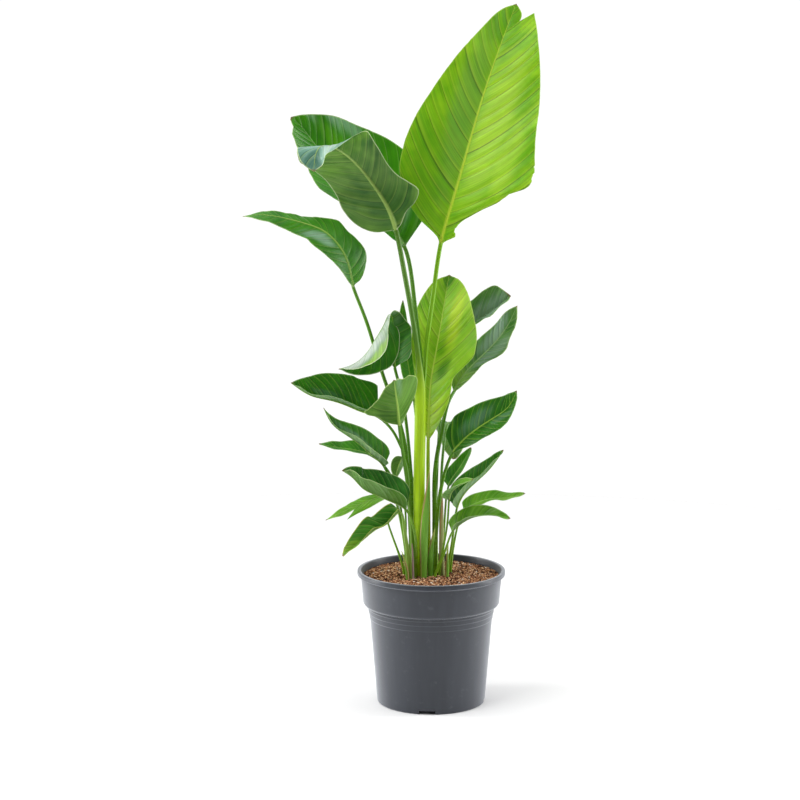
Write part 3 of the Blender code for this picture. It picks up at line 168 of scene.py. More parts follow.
def add(tree, kind, settings=None, inputs=None):
    """Adds a node. An input is a value, a node for its first output, or a node with an output's name."""
    node = tree.nodes.new("ShaderNode" + kind)
    for key, value in (settings or {}).items():
        setattr(node, key, value)
    for key, value in (inputs or {}).items():
        if isinstance(value, bpy.types.Node):
            value = (value, 0)
        if isinstance(value, tuple) and isinstance(value[0], bpy.types.Node):
            tree.links.new(value[0].outputs[value[1]], node.inputs[key])
        else:
            node.inputs[key].default_value = value
    return node


def new_finish(name):
    """An empty material and its node tree."""
    mat = bpy.data.materials.new(name)
    mat.use_nodes = True
    mat.node_tree.nodes.clear()
    return mat, mat.node_tree


# Leaf surfaces: fresh and deep are the light and dark of the upper face's tissue, under and under_deep the
# lower face's. The three painted tones are painted light: a grey painted sheen, a deep green painted shade
# and, on most looks, a sunlit green painted highlight, where a leaf's paint places them.
# Foot_span is where the stalk turns to its foot's colour. The brown area holds the height below which, and
# the place in X past which, the stalk turns olive brown.

LEAF = dict(fresh="589E1C", deep="2A6E08", under="76A254", under_deep="3F7A20", bloom="93B4A0",
            dusk="1C5208", gold="C4E040", rib="A4C85C", margin="B4D088", stalk="4E8408", foot="74A01C",
            foot_span=(0.23, 0.40), glow="84CC10", share=0.30, wax=0.34, brown_patch="6B5A18",
            brown_patch_area=(9.0, 9.0))
LOOKS = {
    "crown": dict(LEAF, fresh="B0DC24", deep="7CC00A", under="C0DE70", under_deep="98C838", bloom="8CC04C",
                  dusk="6AB208", gold="CCE850", rib="E4EC58", margin="C4E060", stalk="76AC00", foot="A4C810",
                  glow="B8E814", share=0.46, wax=0.42),
    "middle": dict(LEAF, fresh="B6DA3C", deep="86C01A", under="C8E070", under_deep="9CCC38", bloom="DCEC84",
                   dusk="3E8E0A", gold="D4E63C", rib="E0EA78", margin="D0E47C", stalk="A8CC20",
                   foot="B4CC14", glow="BCE414", share=0.46, wax=0.38),
    # The front leaf's pale teal upper face is partly its own green and partly a painted sheen of its glossy
    # wax
    "front": dict(LEAF, fresh="8AB4A0", deep="5C9078", under="6E9E38", under_deep="2C6412", bloom="B4CCC0",
                  dusk="3E7660", gold="3A7014", rib="A0C05C", margin="CCDEA8", stalk="4A7810", foot="A8D000",
                  foot_span=(0.47, 0.60), share=0.12, brown_patch_area=(0.235, -0.0095)),
    "back": dict(LEAF, fresh="4A9A00", deep="2E7E00", under="98B87C", under_deep="6CA040", bloom="9CC0A6",
                 gold="6CB414", dusk="1A5606", rib="A4C87C", share=0.30),
    "far": dict(LEAF, fresh="4C9C12", deep="2E7E04", under="78A458", under_deep="3C7C18", bloom="9CC0A6"),
    "sheen": dict(LEAF, fresh="6E9E50", deep="3C7828", under="8CB060", under_deep="54862C", bloom="A4BCB4",
                  dusk="1C4C24", rib="B0CC90", share=0.2, wax=0.3),
    "dark": dict(LEAF, fresh="3A8612", deep="226404", under="70A050", under_deep="3E7A20", bloom="7CA48C",
                 rib="B8DC58", margin="8CB868", share=0.2, wax=0.28),
    # The tent leaf's pale grey-green upper face and near white sheen are painted reflection on its glossy
    # wax
    "tent": dict(LEAF, fresh="A4B8A4", deep="6C9C60", under="46980C", under_deep="2A7604", bloom="D8E0D8",
                 gold="9CC83C", margin="DCE8C0", share=0.3, wax=0.3),
    "broad": dict(LEAF, fresh="6A9A3C", deep="427A1C", under="70A040", under_deep="487E1C", dusk="2A5E14",
                  margin="B8D080", share=0.26),
    "pale": dict(LEAF, fresh="86C22C", deep="56A010", under="94BC74", under_deep="5C9838", rib="B8D880",
                 margin="C0DC90", share=0.34),
    "ageing": dict(LEAF, fresh="5CA034", deep="2E741C", under="8CB860", under_deep="5C9440", rib="C4D868",
                   margin="D8D464", stalk="68A028", foot="84A83C", share=0.3),
    "wet": dict(LEAF, fresh="428A2C", deep="205C14", under="6C9C44", under_deep="4C8420", bloom="84AC98",
                share=0.22, wax=0.28),
}


def waxed_leaf(name, look):
    """Living leaf: green tissue under a thin wax skin, with a fine vein drawn about every 2 mm.

    The wax gives a broad soft sheen, light from behind glows through, and the veins show as fine streaks
    that run out from the rib. Each fold is painted with a highlight on one side and a shade on the other.
    """
    mat, tree = new_finish(name)
    place, part, paint, fold, dry = [add(tree, "Attribute", {"attribute_name": mark})
                                     for mark in ("place", "part", "paint", "fold", "dry")]
    where, which, brush = [add(tree, "SeparateXYZ", inputs={0: (mark, "Vector")})
                           for mark in (place, part, paint)]
    upper, blade, rib = (which, "X"), (which, "Y"), (which, "Z")

    # Blotches are 30 to 60 mm across, bands 8 mm wide along the veins, veins 1.8 mm and fibres 1.1 mm apart
    world = add(tree, "NewGeometry")
    blotch = add(tree, "TexNoise", inputs={"Vector": (world, "Position"), "Scale": BLOTCHES, "Detail": 2.0})
    streaks = []
    for spread, detail in ((BANDS, 3.0), (VEINS, 2.0), (FIBRES, 2.0)):
        at = add(tree, "VectorMath", TIMES, {0: (place, "Vector"), 1: spread})
        streaks.append(add(tree, "TexNoise", inputs={"Vector": at, "Scale": 1.0, "Detail": detail}))
    band, vein, fibre = streaks

    # Each fold is painted with a soft highlight strip, a slow painted shade up to the next one and a thin
    # painted shadow line in its crease
    across = add(tree, "Math", {"operation": "FRACT"}, {0: (fold, "Fac")})
    fold_highlight = add(tree, "MapRange", SMOOTH,
                      {"Value": across, "From Min": 0.0, "From Max": 0.22, "To Min": 0.30, "To Max": 0.0})
    crease_shade_line = add(tree, "MapRange", SMOOTH, {"Value": across, "From Min": 0.90, "From Max": 0.99})
    shown = add(tree, "MapRange", SMOOTH,
                {"Value": band, "From Min": 0.30, "From Max": 0.55, "To Min": 0.4, "To Max": 1.0})
    fold_highlight = add(tree, "Math", TIMES, {0: fold_highlight, 1: shown})
    crease_shade_line = add(tree, "Math", TIMES, {0: crease_shade_line, 1: shown})
    crease_shade_line = add(tree, "Math", TIMES, {0: crease_shade_line, 1: 0.45})

    # Tissue: deeper green in bands and blotches, and painted shade deepening toward each crease, then the
    # painted tones
    depth = add(tree, "MapRange", inputs={"Value": band, "From Min": 0.34, "From Max": 0.66,
                                          "To Min": 0.05, "To Max": 0.55})
    patch = add(tree, "MapRange", inputs={"Value": blotch, "From Min": 0.36, "From Max": 0.64,
                                          "To Min": -0.25, "To Max": 0.45})
    depth = add(tree, "Math", PLUS, {0: depth, 1: patch})
    depth = add(tree, "Math", dict(TIMES_PLUS, use_clamp=True), {0: across, 1: 0.18, 2: depth})
    top = add(tree, "Mix", BLEND, {0: depth, MIX_A: linear(look["fresh"]), MIX_B: linear(look["deep"])})
    below = add(tree, "Mix", BLEND,
                {0: depth, MIX_A: linear(look["under"]), MIX_B: linear(look["under_deep"])})
    skin = add(tree, "Mix", BLEND, {0: upper, MIX_A: (below, MIX_RESULT), MIX_B: (top, MIX_RESULT)})
    # Painted light from the leaf's paint: a grey sheen, a deep green shade and a sunlit highlight
    for channel, tone in zip("XYZ", TONES):
        skin = add(tree, "Mix", BLEND,
                   {0: (brush, channel), MIX_A: (skin, MIX_RESULT), MIX_B: linear(look[tone])})
    shade = add(tree, "MapRange", inputs={"Value": vein, "From Min": 0.3, "From Max": 0.7,
                                          "To Min": 0.84, "To Max": 1.16})
    shade = add(tree, "Math", {"operation": "SUBTRACT"}, {0: shade, 1: crease_shade_line})
    skin = add(tree, "VectorMath", SCALED, {0: (skin, MIX_RESULT), "Scale": shade})
    # The painted highlight strip of each fold takes the rib's pale colour
    skin = add(tree, "Mix", BLEND, {0: fold_highlight, MIX_A: skin, MIX_B: linear(look["rib"])})

    # The clear rim is about 0.8 mm wide on a real leaf, and drawn 1.4 mm wide here so that it shows
    rim = add(tree, "MapRange", SMOOTH,
              {"Value": (where, "Z"), "From Min": 0.0008, "From Max": 0.0018, "To Min": 0.85, "To Max": 0.0})
    for cover, code in ((rib, look["rib"]), (rim, look["margin"]), ((dry, "Fac"), "7A5630")):
        skin = add(tree, "Mix", BLEND, {0: cover, MIX_A: (skin, MIX_RESULT), MIX_B: linear(code)})

    # The stalk is streaked lengthways and yellower toward its foot, and olive brown low on its right side
    # where the look gives a brown area.
    # Its fibres shift the colour's edges by up to 0.1 m in height, half of that on average
    height = add(tree, "SeparateXYZ", inputs={0: (world, "Position")})
    wobble = add(tree, "Math", TIMES_PLUS, {0: fibre, 1: 0.10, 2: (height, "Z")})
    foot_low, foot_high = look["foot_span"]
    low = add(tree, "MapRange", SMOOTH,
              {"Value": wobble, "From Min": foot_low + 0.05, "From Max": foot_high + 0.05,
               "To Min": 1.0, "To Max": 0.0})
    stalk = add(tree, "Mix", BLEND, {0: low, MIX_A: linear(look["stalk"]), MIX_B: linear(look["foot"])})
    streak = add(tree, "MapRange", inputs={"Value": fibre, "From Min": 0.3, "From Max": 0.7,
                                           "To Min": 0.76, "To Max": 1.2})
    stalk = add(tree, "VectorMath", SCALED, {0: (stalk, MIX_RESULT), "Scale": streak})
    brown_patch_top, brown_patch_from = look["brown_patch_area"]
    brown_patch_low = add(tree, "MapRange", SMOOTH,
                    {"Value": wobble, "From Min": brown_patch_top + 0.03, "From Max": brown_patch_top + 0.10,
                     "To Min": 0.8, "To Max": 0.0})
    brown_patch_side = add(tree, "MapRange", SMOOTH,
                     {"Value": (height, "X"), "From Min": brown_patch_from - 0.003,
                      "From Max": brown_patch_from + 0.003})
    browned = add(tree, "Math", TIMES, {0: brown_patch_low, 1: brown_patch_side})
    stalk = add(tree, "Mix", BLEND, {0: browned, MIX_A: stalk, MIX_B: linear(look["brown_patch"])})
    colour = add(tree, "Mix", BLEND, {0: blade, MIX_A: (stalk, MIX_RESULT), MIX_B: (skin, MIX_RESULT)})

    # Wax: smoother on the upper face, duller on the lower one
    dull = add(tree, "MapRange", inputs={"Value": upper, "To Min": look["wax"] + 0.12,
                                         "To Max": look["wax"]})
    rough = add(tree, "MapRange", inputs={"Value": band, "From Min": 0.3, "From Max": 0.7,
                                          "To Min": -0.07, "To Max": 0.09})
    rough = add(tree, "Math", PLUS, {0: dull, 1: rough})
    grain = add(tree, "Math", PLUS, {0: vein, 1: fibre})
    grain = add(tree, "Math", TIMES_PLUS, {0: crease_shade_line, 1: -1.4, 2: grain})
    relief = add(tree, "Bump", inputs={"Strength": 0.3, "Distance": 0.0006, "Height": grain})
    wax = add(tree, "BsdfPrincipled", inputs={
        "Base Color": (colour, MIX_RESULT), "Roughness": rough, "Normal": relief, "IOR": 1.42,
        "Coat Weight": 0.06, "Coat Roughness": 0.25})
    lit = add(tree, "Mix", {"data_type": "RGBA", "blend_type": "MULTIPLY"},
              {0: 0.35, MIX_A: (colour, MIX_RESULT), MIX_B: linear(look["glow"])})
    glow = add(tree, "BsdfTranslucent", inputs={"Color": (lit, MIX_RESULT), "Normal": relief})
    share = add(tree, "Math", TIMES, {0: blade, 1: look["share"]})
    both = add(tree, "MixShader", inputs={0: share, 1: wax, 2: glow})
    add(tree, "OutputMaterial", inputs={"Surface": both})
    return mat


def dried_sheath(name, middle, edge, tip):
    """Old leaf sheath: fibrous, dull, green at heart and dried to brown paper along its edges and tip."""
    mat, tree = new_finish(name)
    place = add(tree, "Attribute", {"attribute_name": "place"})
    where = add(tree, "SeparateXYZ", inputs={0: (place, "Vector")})
    fibre_at = add(tree, "VectorMath", TIMES, {0: (place, "Vector"), 1: SHEATH_FIBRES})
    fibre = add(tree, "TexNoise", inputs={"Vector": fibre_at, "Scale": 1.0, "Detail": 3.0})

    # The dried edge is ragged and about 3 mm wide, and the last 30 mm turn to the tip's colour
    gap = add(tree, "Math", TIMES_PLUS, {0: fibre, 1: 0.006, 2: (where, "Z")})
    dry = add(tree, "MapRange", SMOOTH,
              {"Value": gap, "From Min": 0.0035, "From Max": 0.0065, "To Min": 1.0, "To Max": 0.0})
    colour = add(tree, "Mix", BLEND, {0: dry, MIX_A: linear(middle), MIX_B: linear(edge)})
    end = add(tree, "MapRange", SMOOTH,
              {"Value": (where, "X"), "From Min": -0.03, "From Max": 0.0, "To Min": 0.0, "To Max": 0.85})
    colour = add(tree, "Mix", BLEND, {0: end, MIX_A: (colour, MIX_RESULT), MIX_B: linear(tip)})
    streak = add(tree, "MapRange", inputs={"Value": fibre, "From Min": 0.3, "From Max": 0.7,
                                           "To Min": 0.66, "To Max": 1.22})
    colour = add(tree, "VectorMath", SCALED, {0: (colour, MIX_RESULT), "Scale": streak})
    relief = add(tree, "Bump", inputs={"Strength": 0.4, "Distance": 0.0006, "Height": fibre})
    skin = add(tree, "BsdfPrincipled", inputs={
        "Base Color": colour, "Normal": relief, "Roughness": 0.55, "IOR": 1.45})
    add(tree, "OutputMaterial", inputs={"Surface": skin})
    return mat


def moulded_polypropylene():
    """Grower pot: recycled polypropylene, injection moulded.

    Slate grey with a fine satin skin, faint flow streaks up the wall and a little dust, so its highlights
    are broad and soft and its sides look paler.
    """
    mat, tree = new_finish("moulded_polypropylene")
    world = add(tree, "NewGeometry")
    flow_at = add(tree, "VectorMath", TIMES, {0: (world, "Position"), 1: FLOW_STREAKS})
    flow = add(tree, "TexNoise", inputs={"Vector": flow_at, "Scale": 1.0, "Detail": 3.0})
    grit = add(tree, "TexNoise", inputs={"Vector": (world, "Position"), "Scale": MOULD_GRIT, "Detail": 2.0})
    scuff = add(tree, "TexNoise", inputs={"Vector": (world, "Position"), "Scale": SCUFFS, "Detail": 5.0,
                                          "Roughness": 0.7})
    tone = add(tree, "MapRange", inputs={"Value": flow, "From Min": 0.35, "From Max": 0.65})
    wall = add(tree, "Mix", BLEND, {0: tone, MIX_A: linear("20252E"), MIX_B: linear("262B34")})
    dust = add(tree, "MapRange", SMOOTH,
               {"Value": scuff, "From Min": 0.56, "From Max": 0.72, "To Min": 0.0, "To Max": 0.12})
    wall = add(tree, "Mix", BLEND, {0: dust, MIX_A: (wall, MIX_RESULT), MIX_B: linear("76787C")})
    rough = add(tree, "MapRange", inputs={"Value": scuff, "From Min": 0.3, "From Max": 0.7,
                                          "To Min": 0.30, "To Max": 0.40})
    relief = add(tree, "Bump", inputs={"Strength": 0.1, "Distance": 0.0003, "Height": grit})
    plastic = add(tree, "BsdfPrincipled", inputs={
        "Base Color": (wall, MIX_RESULT), "Roughness": rough, "Normal": relief, "IOR": 1.49,
        "Sheen Weight": 0.85, "Sheen Roughness": 0.45, "Sheen Tint": linear("D4D8E0")})
    add(tree, "OutputMaterial", inputs={"Surface": plastic})
    return mat


# Bark from its darkest bits to its palest, with the share of bits up to each colour
BARK_TONES = ((0.14, "4E3020"), (0.34, "7C5038"), (0.56, "A87450"), (0.78, "C8966C"), (0.94, "DDB48C"),
              (0.975, "E4C4A0"))


def bark_mix(name, by_chip):
    """Potting mix of chopped bark and coir: dry reddish-brown bits of 2 to 4 mm, a few dark or nearly white.

    Rough and fibrous, so it has no shine. Each loose chip takes one colour, and the bed below is mottled.
    """
    mat, tree = new_finish(name)
    world = add(tree, "NewGeometry")
    fine = add(tree, "TexNoise", inputs={"Vector": (world, "Position"), "Scale": BARK_FIBRES, "Detail": 3.0})
    if by_chip:
        pick = (add(tree, "Attribute", {"attribute_name": "tone"}), "Fac")
    else:
        pick = add(tree, "TexNoise", inputs={"Vector": (world, "Position"), "Scale": BARK_BITS})
    ramp = add(tree, "ValToRGB", inputs={"Fac": pick})
    bar = ramp.color_ramp.elements
    bar[0].color = linear("2E1C12")
    bar[1].color = linear("F0E8DC")
    for at, code in BARK_TONES:
        bar.new(at).color = linear(code)
    shade = add(tree, "MapRange", inputs={"Value": fine, "From Min": 0.3, "From Max": 0.7,
                                          "To Min": 0.7, "To Max": 1.2})
    colour = add(tree, "VectorMath", SCALED, {0: ramp, "Scale": shade})
    relief = add(tree, "Bump", inputs={"Strength": 0.6, "Distance": 0.0006, "Height": fine})
    bark = add(tree, "BsdfPrincipled", inputs={
        "Base Color": colour, "Normal": relief, "Roughness": 0.9, "Specular IOR Level": 0.25})
    add(tree, "OutputMaterial", inputs={"Surface": bark})
    return mat


def studio_paper():
    """Studio floor: matt white paper, which runs into the bright surroundings and takes soft shadows."""
    mat, tree = new_finish("studio_paper")
    paper = add(tree, "BsdfPrincipled", inputs={
        "Base Color": linear("E6E6E6"), "Roughness": 0.9, "Specular IOR Level": 0.1})
    add(tree, "OutputMaterial", inputs={"Surface": paper})
    return mat


# Meshes


def put(name, data):
    """A new object in the scene."""
    thing = bpy.data.objects.new(name, data)
    bpy.context.scene.collection.objects.link(thing)
    return thing


def new_mesh(name, verts, faces):
    mesh = bpy.data.meshes.new(name)
    mesh.from_pydata(np.asarray(verts, dtype=float).tolist(), [], faces)
    return mesh


def make_piece(name, mesh, mat, replaced=None, sharp=60):
    """A finished mesh as a piece that rides with the plant, in place of a solid where one is named."""
    mesh.materials.append(mat)
    mesh.shade_smooth()
    mesh.set_sharp_from_angle(angle=math.radians(sharp))
    piece = put(name, mesh)
    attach(piece, "root")
    if replaced:
        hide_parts(replaced)
    return piece


def keep_values(piece, **marks):
    """Keeps a number or a vector for each point of a piece, which its finish reads by name."""
    for name, values in marks.items():
        values = np.asarray(values, dtype=np.float32)
        kind, key = ("FLOAT_VECTOR", "vector") if values.ndim == 2 else ("FLOAT", "value")
        attribute = piece.data.attributes.new(name, kind, "POINT")
        attribute.data.foreach_set(key, values.ravel())


# Leaf geometry


def unit(v):
    return v / np.linalg.norm(v)


def smooth_line(points, count=400):
    """Natural cubic curve through the points, as evenly fine samples, and each point's sample place."""
    pts = np.array(points, dtype=float)
    knots = np.concatenate([[0.0], np.cumsum(np.sqrt(np.linalg.norm(np.diff(pts, axis=0), axis=1)))])
    n = len(pts)
    h = np.diff(knots)
    system = np.eye(n)
    right = np.zeros((n, 3))
    for i in range(1, n - 1):
        system[i, i - 1:i + 2] = (h[i - 1], 2 * (h[i - 1] + h[i]), h[i])
        right[i] = 6 * ((pts[i + 1] - pts[i]) / h[i] - (pts[i] - pts[i - 1]) / h[i - 1])
    bend = np.linalg.solve(system, right)
    u = np.union1d(np.linspace(0, knots[-1], count), knots)
    line = []
    for value in u:
        i = min(int(np.searchsorted(knots, value, side="right")) - 1, n - 2)
        a = (knots[i + 1] - value) / h[i]
        b = 1 - a
        line.append(a * pts[i] + b * pts[i + 1]
                    + ((a ** 3 - a) * bend[i] + (b ** 3 - b) * bend[i + 1]) * h[i] ** 2 / 6)
    line = np.array(line)
    along = np.concatenate([[0.0], np.cumsum(np.linalg.norm(np.diff(line, axis=0), axis=1))])
    return line, along, [float(np.interp(k, u, along)) for k in knots]


class Path:
    """The line of one leaf with its travelling axes: tangent, side and the upper face's normal."""

    def __init__(self, stalk, rib, faces, facing_at=0.4):
        self.line, self.along, marks = smooth_line(list(stalk) + list(rib))
        self.foot = marks[len(stalk)]
        self.end = self.along[-1]
        tangent = np.gradient(self.line, self.along, axis=0)
        self.tangent = np.array([unit(t) for t in tangent])
        start = int(np.searchsorted(self.along, self.foot + facing_at * (self.end - self.foot)))
        self.normal = np.zeros_like(self.line)
        n = np.array(faces, dtype=float)
        for order in (range(start, len(self.line)), range(start, -1, -1)):
            carried = n
            for i in order:
                t = self.tangent[i]
                carried = unit(carried - carried.dot(t) * t)
                self.normal[i] = carried

    def at(self, distance):
        place, t, n = (np.array([np.interp(distance, self.along, grid[:, c]) for c in range(3)])
                       for grid in (self.line, self.tangent, self.normal))
        t = unit(t)
        n = unit(n - n.dot(t) * t)
        return place, t, np.cross(t, n), n


def between(table, t):
    """Value at t of a table: a number, an even list from foot to tip, or (t, value) pairs."""
    if isinstance(table, (int, float)):
        return float(table)
    if isinstance(table[0], (tuple, list)):
        return float(np.interp(t, [p[0] for p in table], [p[1] for p in table]))
    return float(np.interp(t, np.linspace(0, 1, len(table)), table))


def paddle(t, foot, tip):
    """Outline of a paddle leaf: full soon after its foot, then a long taper to the tip."""
    peak = foot / (foot + tip)
    top = peak ** foot * (1 - peak) ** tip
    return max(t, 0.0) ** foot * max(1 - t, 0.0) ** tip / top


def soft_outline(points, pieces=8):
    """Smooth curve through an outline's points. A point with a third value stays a sharp corner."""
    pts = np.array([p[:2] for p in points], dtype=float)
    corner = [len(p) > 2 or i in (0, len(points) - 1) for i, p in enumerate(points)]
    lengths = np.linalg.norm(np.diff(pts, axis=0), axis=1)
    slopes = np.diff(pts, axis=0) / lengths[:, None]
    line = [pts[0]]
    for i in range(len(pts) - 1):
        ends = []
        for j, other in ((i, i - 1), (i + 1, i + 1)):
            if corner[j]:
                ends.append(slopes[i] * lengths[i])
            else:
                a, b = (other, i) if j == i else (i, other)
                blend = (slopes[a] * lengths[b] + slopes[b] * lengths[a]) / (lengths[a] + lengths[b])
                ends.append(blend * lengths[i])
        for step in range(1, pieces + 1):
            q = step / pieces
            line.append(pts[i] * (2 * q ** 3 - 3 * q ** 2 + 1) + ends[0] * (q ** 3 - 2 * q ** 2 + q)
                        + pts[i + 1] * (3 * q ** 2 - 2 * q ** 3) + ends[1] * (q ** 3 - q ** 2))
    return np.array(line)


def reach_of_row(outline, start, lean):
    """Length of a row that leaves the rib at start, leaning forward, up to the outline."""
    forward, across = math.sin(math.radians(lean)), math.cos(math.radians(lean))
    a0, c0 = outline[:-1, 0], outline[:-1, 1]
    da, dc = np.diff(outline[:, 0]), np.diff(outline[:, 1])
    cross = forward * dc - across * da
    cross = np.where(np.abs(cross) < 1e-9, 1e-9, cross)
    length = ((a0 - start) * dc - c0 * da) / cross
    share = ((a0 - start) * across - c0 * forward) / cross
    hits = length[(length > 0) & (share >= -1e-6) & (share <= 1 + 1e-6)]
    return float(hits.min()) if len(hits) else 0.0


class Noise:
    """Smooth random line: seeded values at whole numbers, joined by cosine steps."""

    def __init__(self, seed):
        self.values = np.random.default_rng(seed).uniform(-1, 1, NOISE_VALUES)

    def at(self, x):
        i = int(math.floor(x))
        f = (1 - math.cos(math.pi * (x - i))) / 2
        return self.values[i % NOISE_VALUES] * (1 - f) + self.values[(i + 1) % NOISE_VALUES] * f


def painted(patches, u, c, streaks):
    """How strongly each painted tone covers places on a blade: u along it, c centimetres right of its rib.

    A patch is (tone, u, c, reach along, reach across, strength), with edges that run out in streaks. The
    tones are painted light: a grey sheen, a deep green shade and a sunlit highlight.
    """
    cover = np.zeros((len(c), 3))
    for tone, at_u, at_c, reach_u, reach_c, strength in patches:
        q = ((u - at_u) / reach_u) ** 2 + ((c - at_c) / reach_c) ** 2
        share = strength * np.exp(-np.clip(q + 0.4 * streaks, 0, None) ** 2)
        i = TONES.index(tone)
        cover[:, i] = np.maximum(cover[:, i], share)
    return cover


def fold_place(p, spacing, seed):
    """Running number of the fold at a place along the rib, with uneven gaps between whole numbers."""
    x = p / spacing
    return x + 0.13 * np.sin(2.3 * x + seed) + 0.07 * np.sin(5.1 * x + 2.1 * seed)


def row_columns(m, width, rib):
    """Places across one half of a row, from 0 to 1: close together at the rib and at the margin."""
    even = min(max(1 - (width - 2 * rib) / (3 * rib), 0.0), 1.0)
    near = np.array([0.4, 0.8, 1.05, 1.4]) * rib / width
    rim = 1 - 0.1 / width
    spread = near[-1] + (rim - near[-1]) * (np.arange(1, m - 4) / (m - 5))
    full = np.concatenate([near, spread, [1.0]])
    flat = np.arange(1, m + 1) / m
    return full * (1 - even) + flat * even


def half_row(side, m, row):
    """One half of a row: its upper and lower points, and what the surface needs to know there."""
    k = 0 if side < 0 else 1
    width = row["widths"][k]
    rib = row["rib"]
    s = row_columns(m, width, rib) if row["arc"] is None else np.arange(1, m + 1) / m
    before = np.concatenate([[0.0], s[:-1]])
    arch = row["arch"]
    slope = np.radians(row["lifts"][k] + arch * (1 - 2 * s) + row["curls"][k] * s)
    mid = (s + before) / 2
    mid_slope = np.radians(row["lifts"][k] + arch * (1 - 2 * mid) + row["curls"][k] * mid)
    reach = width * (s - before)
    lean = math.radians(row["lean"])
    x = np.cumsum(reach * math.cos(lean) * np.cos(mid_slope)) * side
    z = np.cumsum(reach * math.cos(lean) * np.sin(mid_slope))
    y = np.cumsum(reach * math.sin(lean))
    out = width * s
    vein = row["along"] - row["vein_bend"] * width * s * s
    fold = fold_place(vein, row["spacing"], row["seed"]) + (0.5 if side < 0 else 0.0)
    open_share = np.clip((out - 1.2 * rib) / (0.12 * width + 0.05), 0, 1)
    inner = 1 - 0.55 * np.clip((s - 0.6) / 0.4, 0, 1)
    panel = 1 - np.abs(2 * (fold % 1.0) - 1) ** 2.2
    rise = row["waves"][k] * s * s + row["relief"] * (panel - 0.6) * open_share * inner
    rise = rise + row["ripple"] * np.clip((s - 0.45) / 0.55, 0, 1) ** 2 * row["ripples"][k]
    nx, nz = -np.sin(slope) * side, np.cos(slope)
    px, pz = x + nx * rise, z + nz * rise
    round_rib = np.sqrt(np.clip(1 - (out / (RIB_REACH * rib)) ** 2, 0, 1))
    half = row["half"] * (1 - 0.3 * s ** 4)
    up = half + row["crown"] * rib * round_rib * (1 - 0.5 * np.exp(-(out / (0.3 * rib)) ** 2))
    down = half + row["keel"] * round_rib
    top = np.stack([px + nx * up, pz + nz * up, y], axis=1)
    low = np.stack([px - nx * down, pz - nz * down, y], axis=1)
    gap = width - out
    on_rib = np.clip(1.25 - out / (RIB_REACH * rib), 0, 1) * row["rib_shows"]
    place = np.stack([vein * CM, out * side * CM, gap * CM], axis=1)
    paint = np.zeros((m, 3))
    if row["patches"]:
        streaks = np.array([row["streaks"].at(v / PAINT_STREAK) for v in vein])
        paint = painted(row["patches"], vein / row["length"], out * side, streaks)
    return top, low, place, on_rib, fold, paint


def row_ring(m, row):
    """Ring of one row and its surface values: the upper face from left to right, then the lower one back."""
    left = half_row(-1, m, row)
    right = half_row(1, m, row)
    rib = row["rib"]
    middle_up = row["half"] + row["crown"] * rib * 0.5
    middle_down = row["half"] + row["keel"]
    sides = []
    for face, height in ((0, middle_up), (1, -middle_down)):
        sides.append(np.concatenate([left[face][::-1], [[0.0, height, 0.0]], right[face]]))
    gap = max(row["widths"]) * CM
    place = np.concatenate([left[2][::-1], [[row["along"] * CM, 0.0, gap]], right[2]])
    on_rib = np.concatenate([left[3][::-1], [row["rib_shows"]], right[3]])
    fold = np.concatenate([left[4][::-1], [right[4][0]], right[4]])
    paint = np.concatenate([left[5][::-1], [right[5][0]], right[5]])
    ring = np.concatenate([sides[0], sides[1][::-1]])
    upper = np.concatenate([np.ones(len(place)), np.zeros(len(place))])
    return [ring, upper] + [np.concatenate([grid, grid[::-1]]) for grid in (place, on_rib, fold, paint)]


def stalk_ring(m, radius, groove):
    """Ring of a round stalk with a shallow groove along its upper side."""
    count = 4 * m + 2
    a = math.pi - (np.arange(count) + 0.5) * 2 * math.pi / count
    r = radius * (1 - groove * np.exp(-((a - math.pi / 2) / GROOVE_WIDTH) ** 2))
    return np.stack([r * np.cos(a), r * np.sin(a), np.zeros(count)], axis=1), a


def quads_over(rings, count):
    """Faces over the rings, with both ends closed."""
    faces = []
    for r in range(rings - 1):
        a, b = r * count, (r + 1) * count
        for i in range(count):
            j = (i + 1) % count
            faces.append((a + i, a + j, b + j, b + i))
    half = count // 2
    last = (rings - 1) * count
    for base, turn in ((0, True), (last, False)):
        for i in range(half - 1):
            quad = (base + i, base + i + 1, base + count - 2 - i, base + count - 1 - i)
            faces.append(tuple(reversed(quad)) if turn else quad)
    return faces


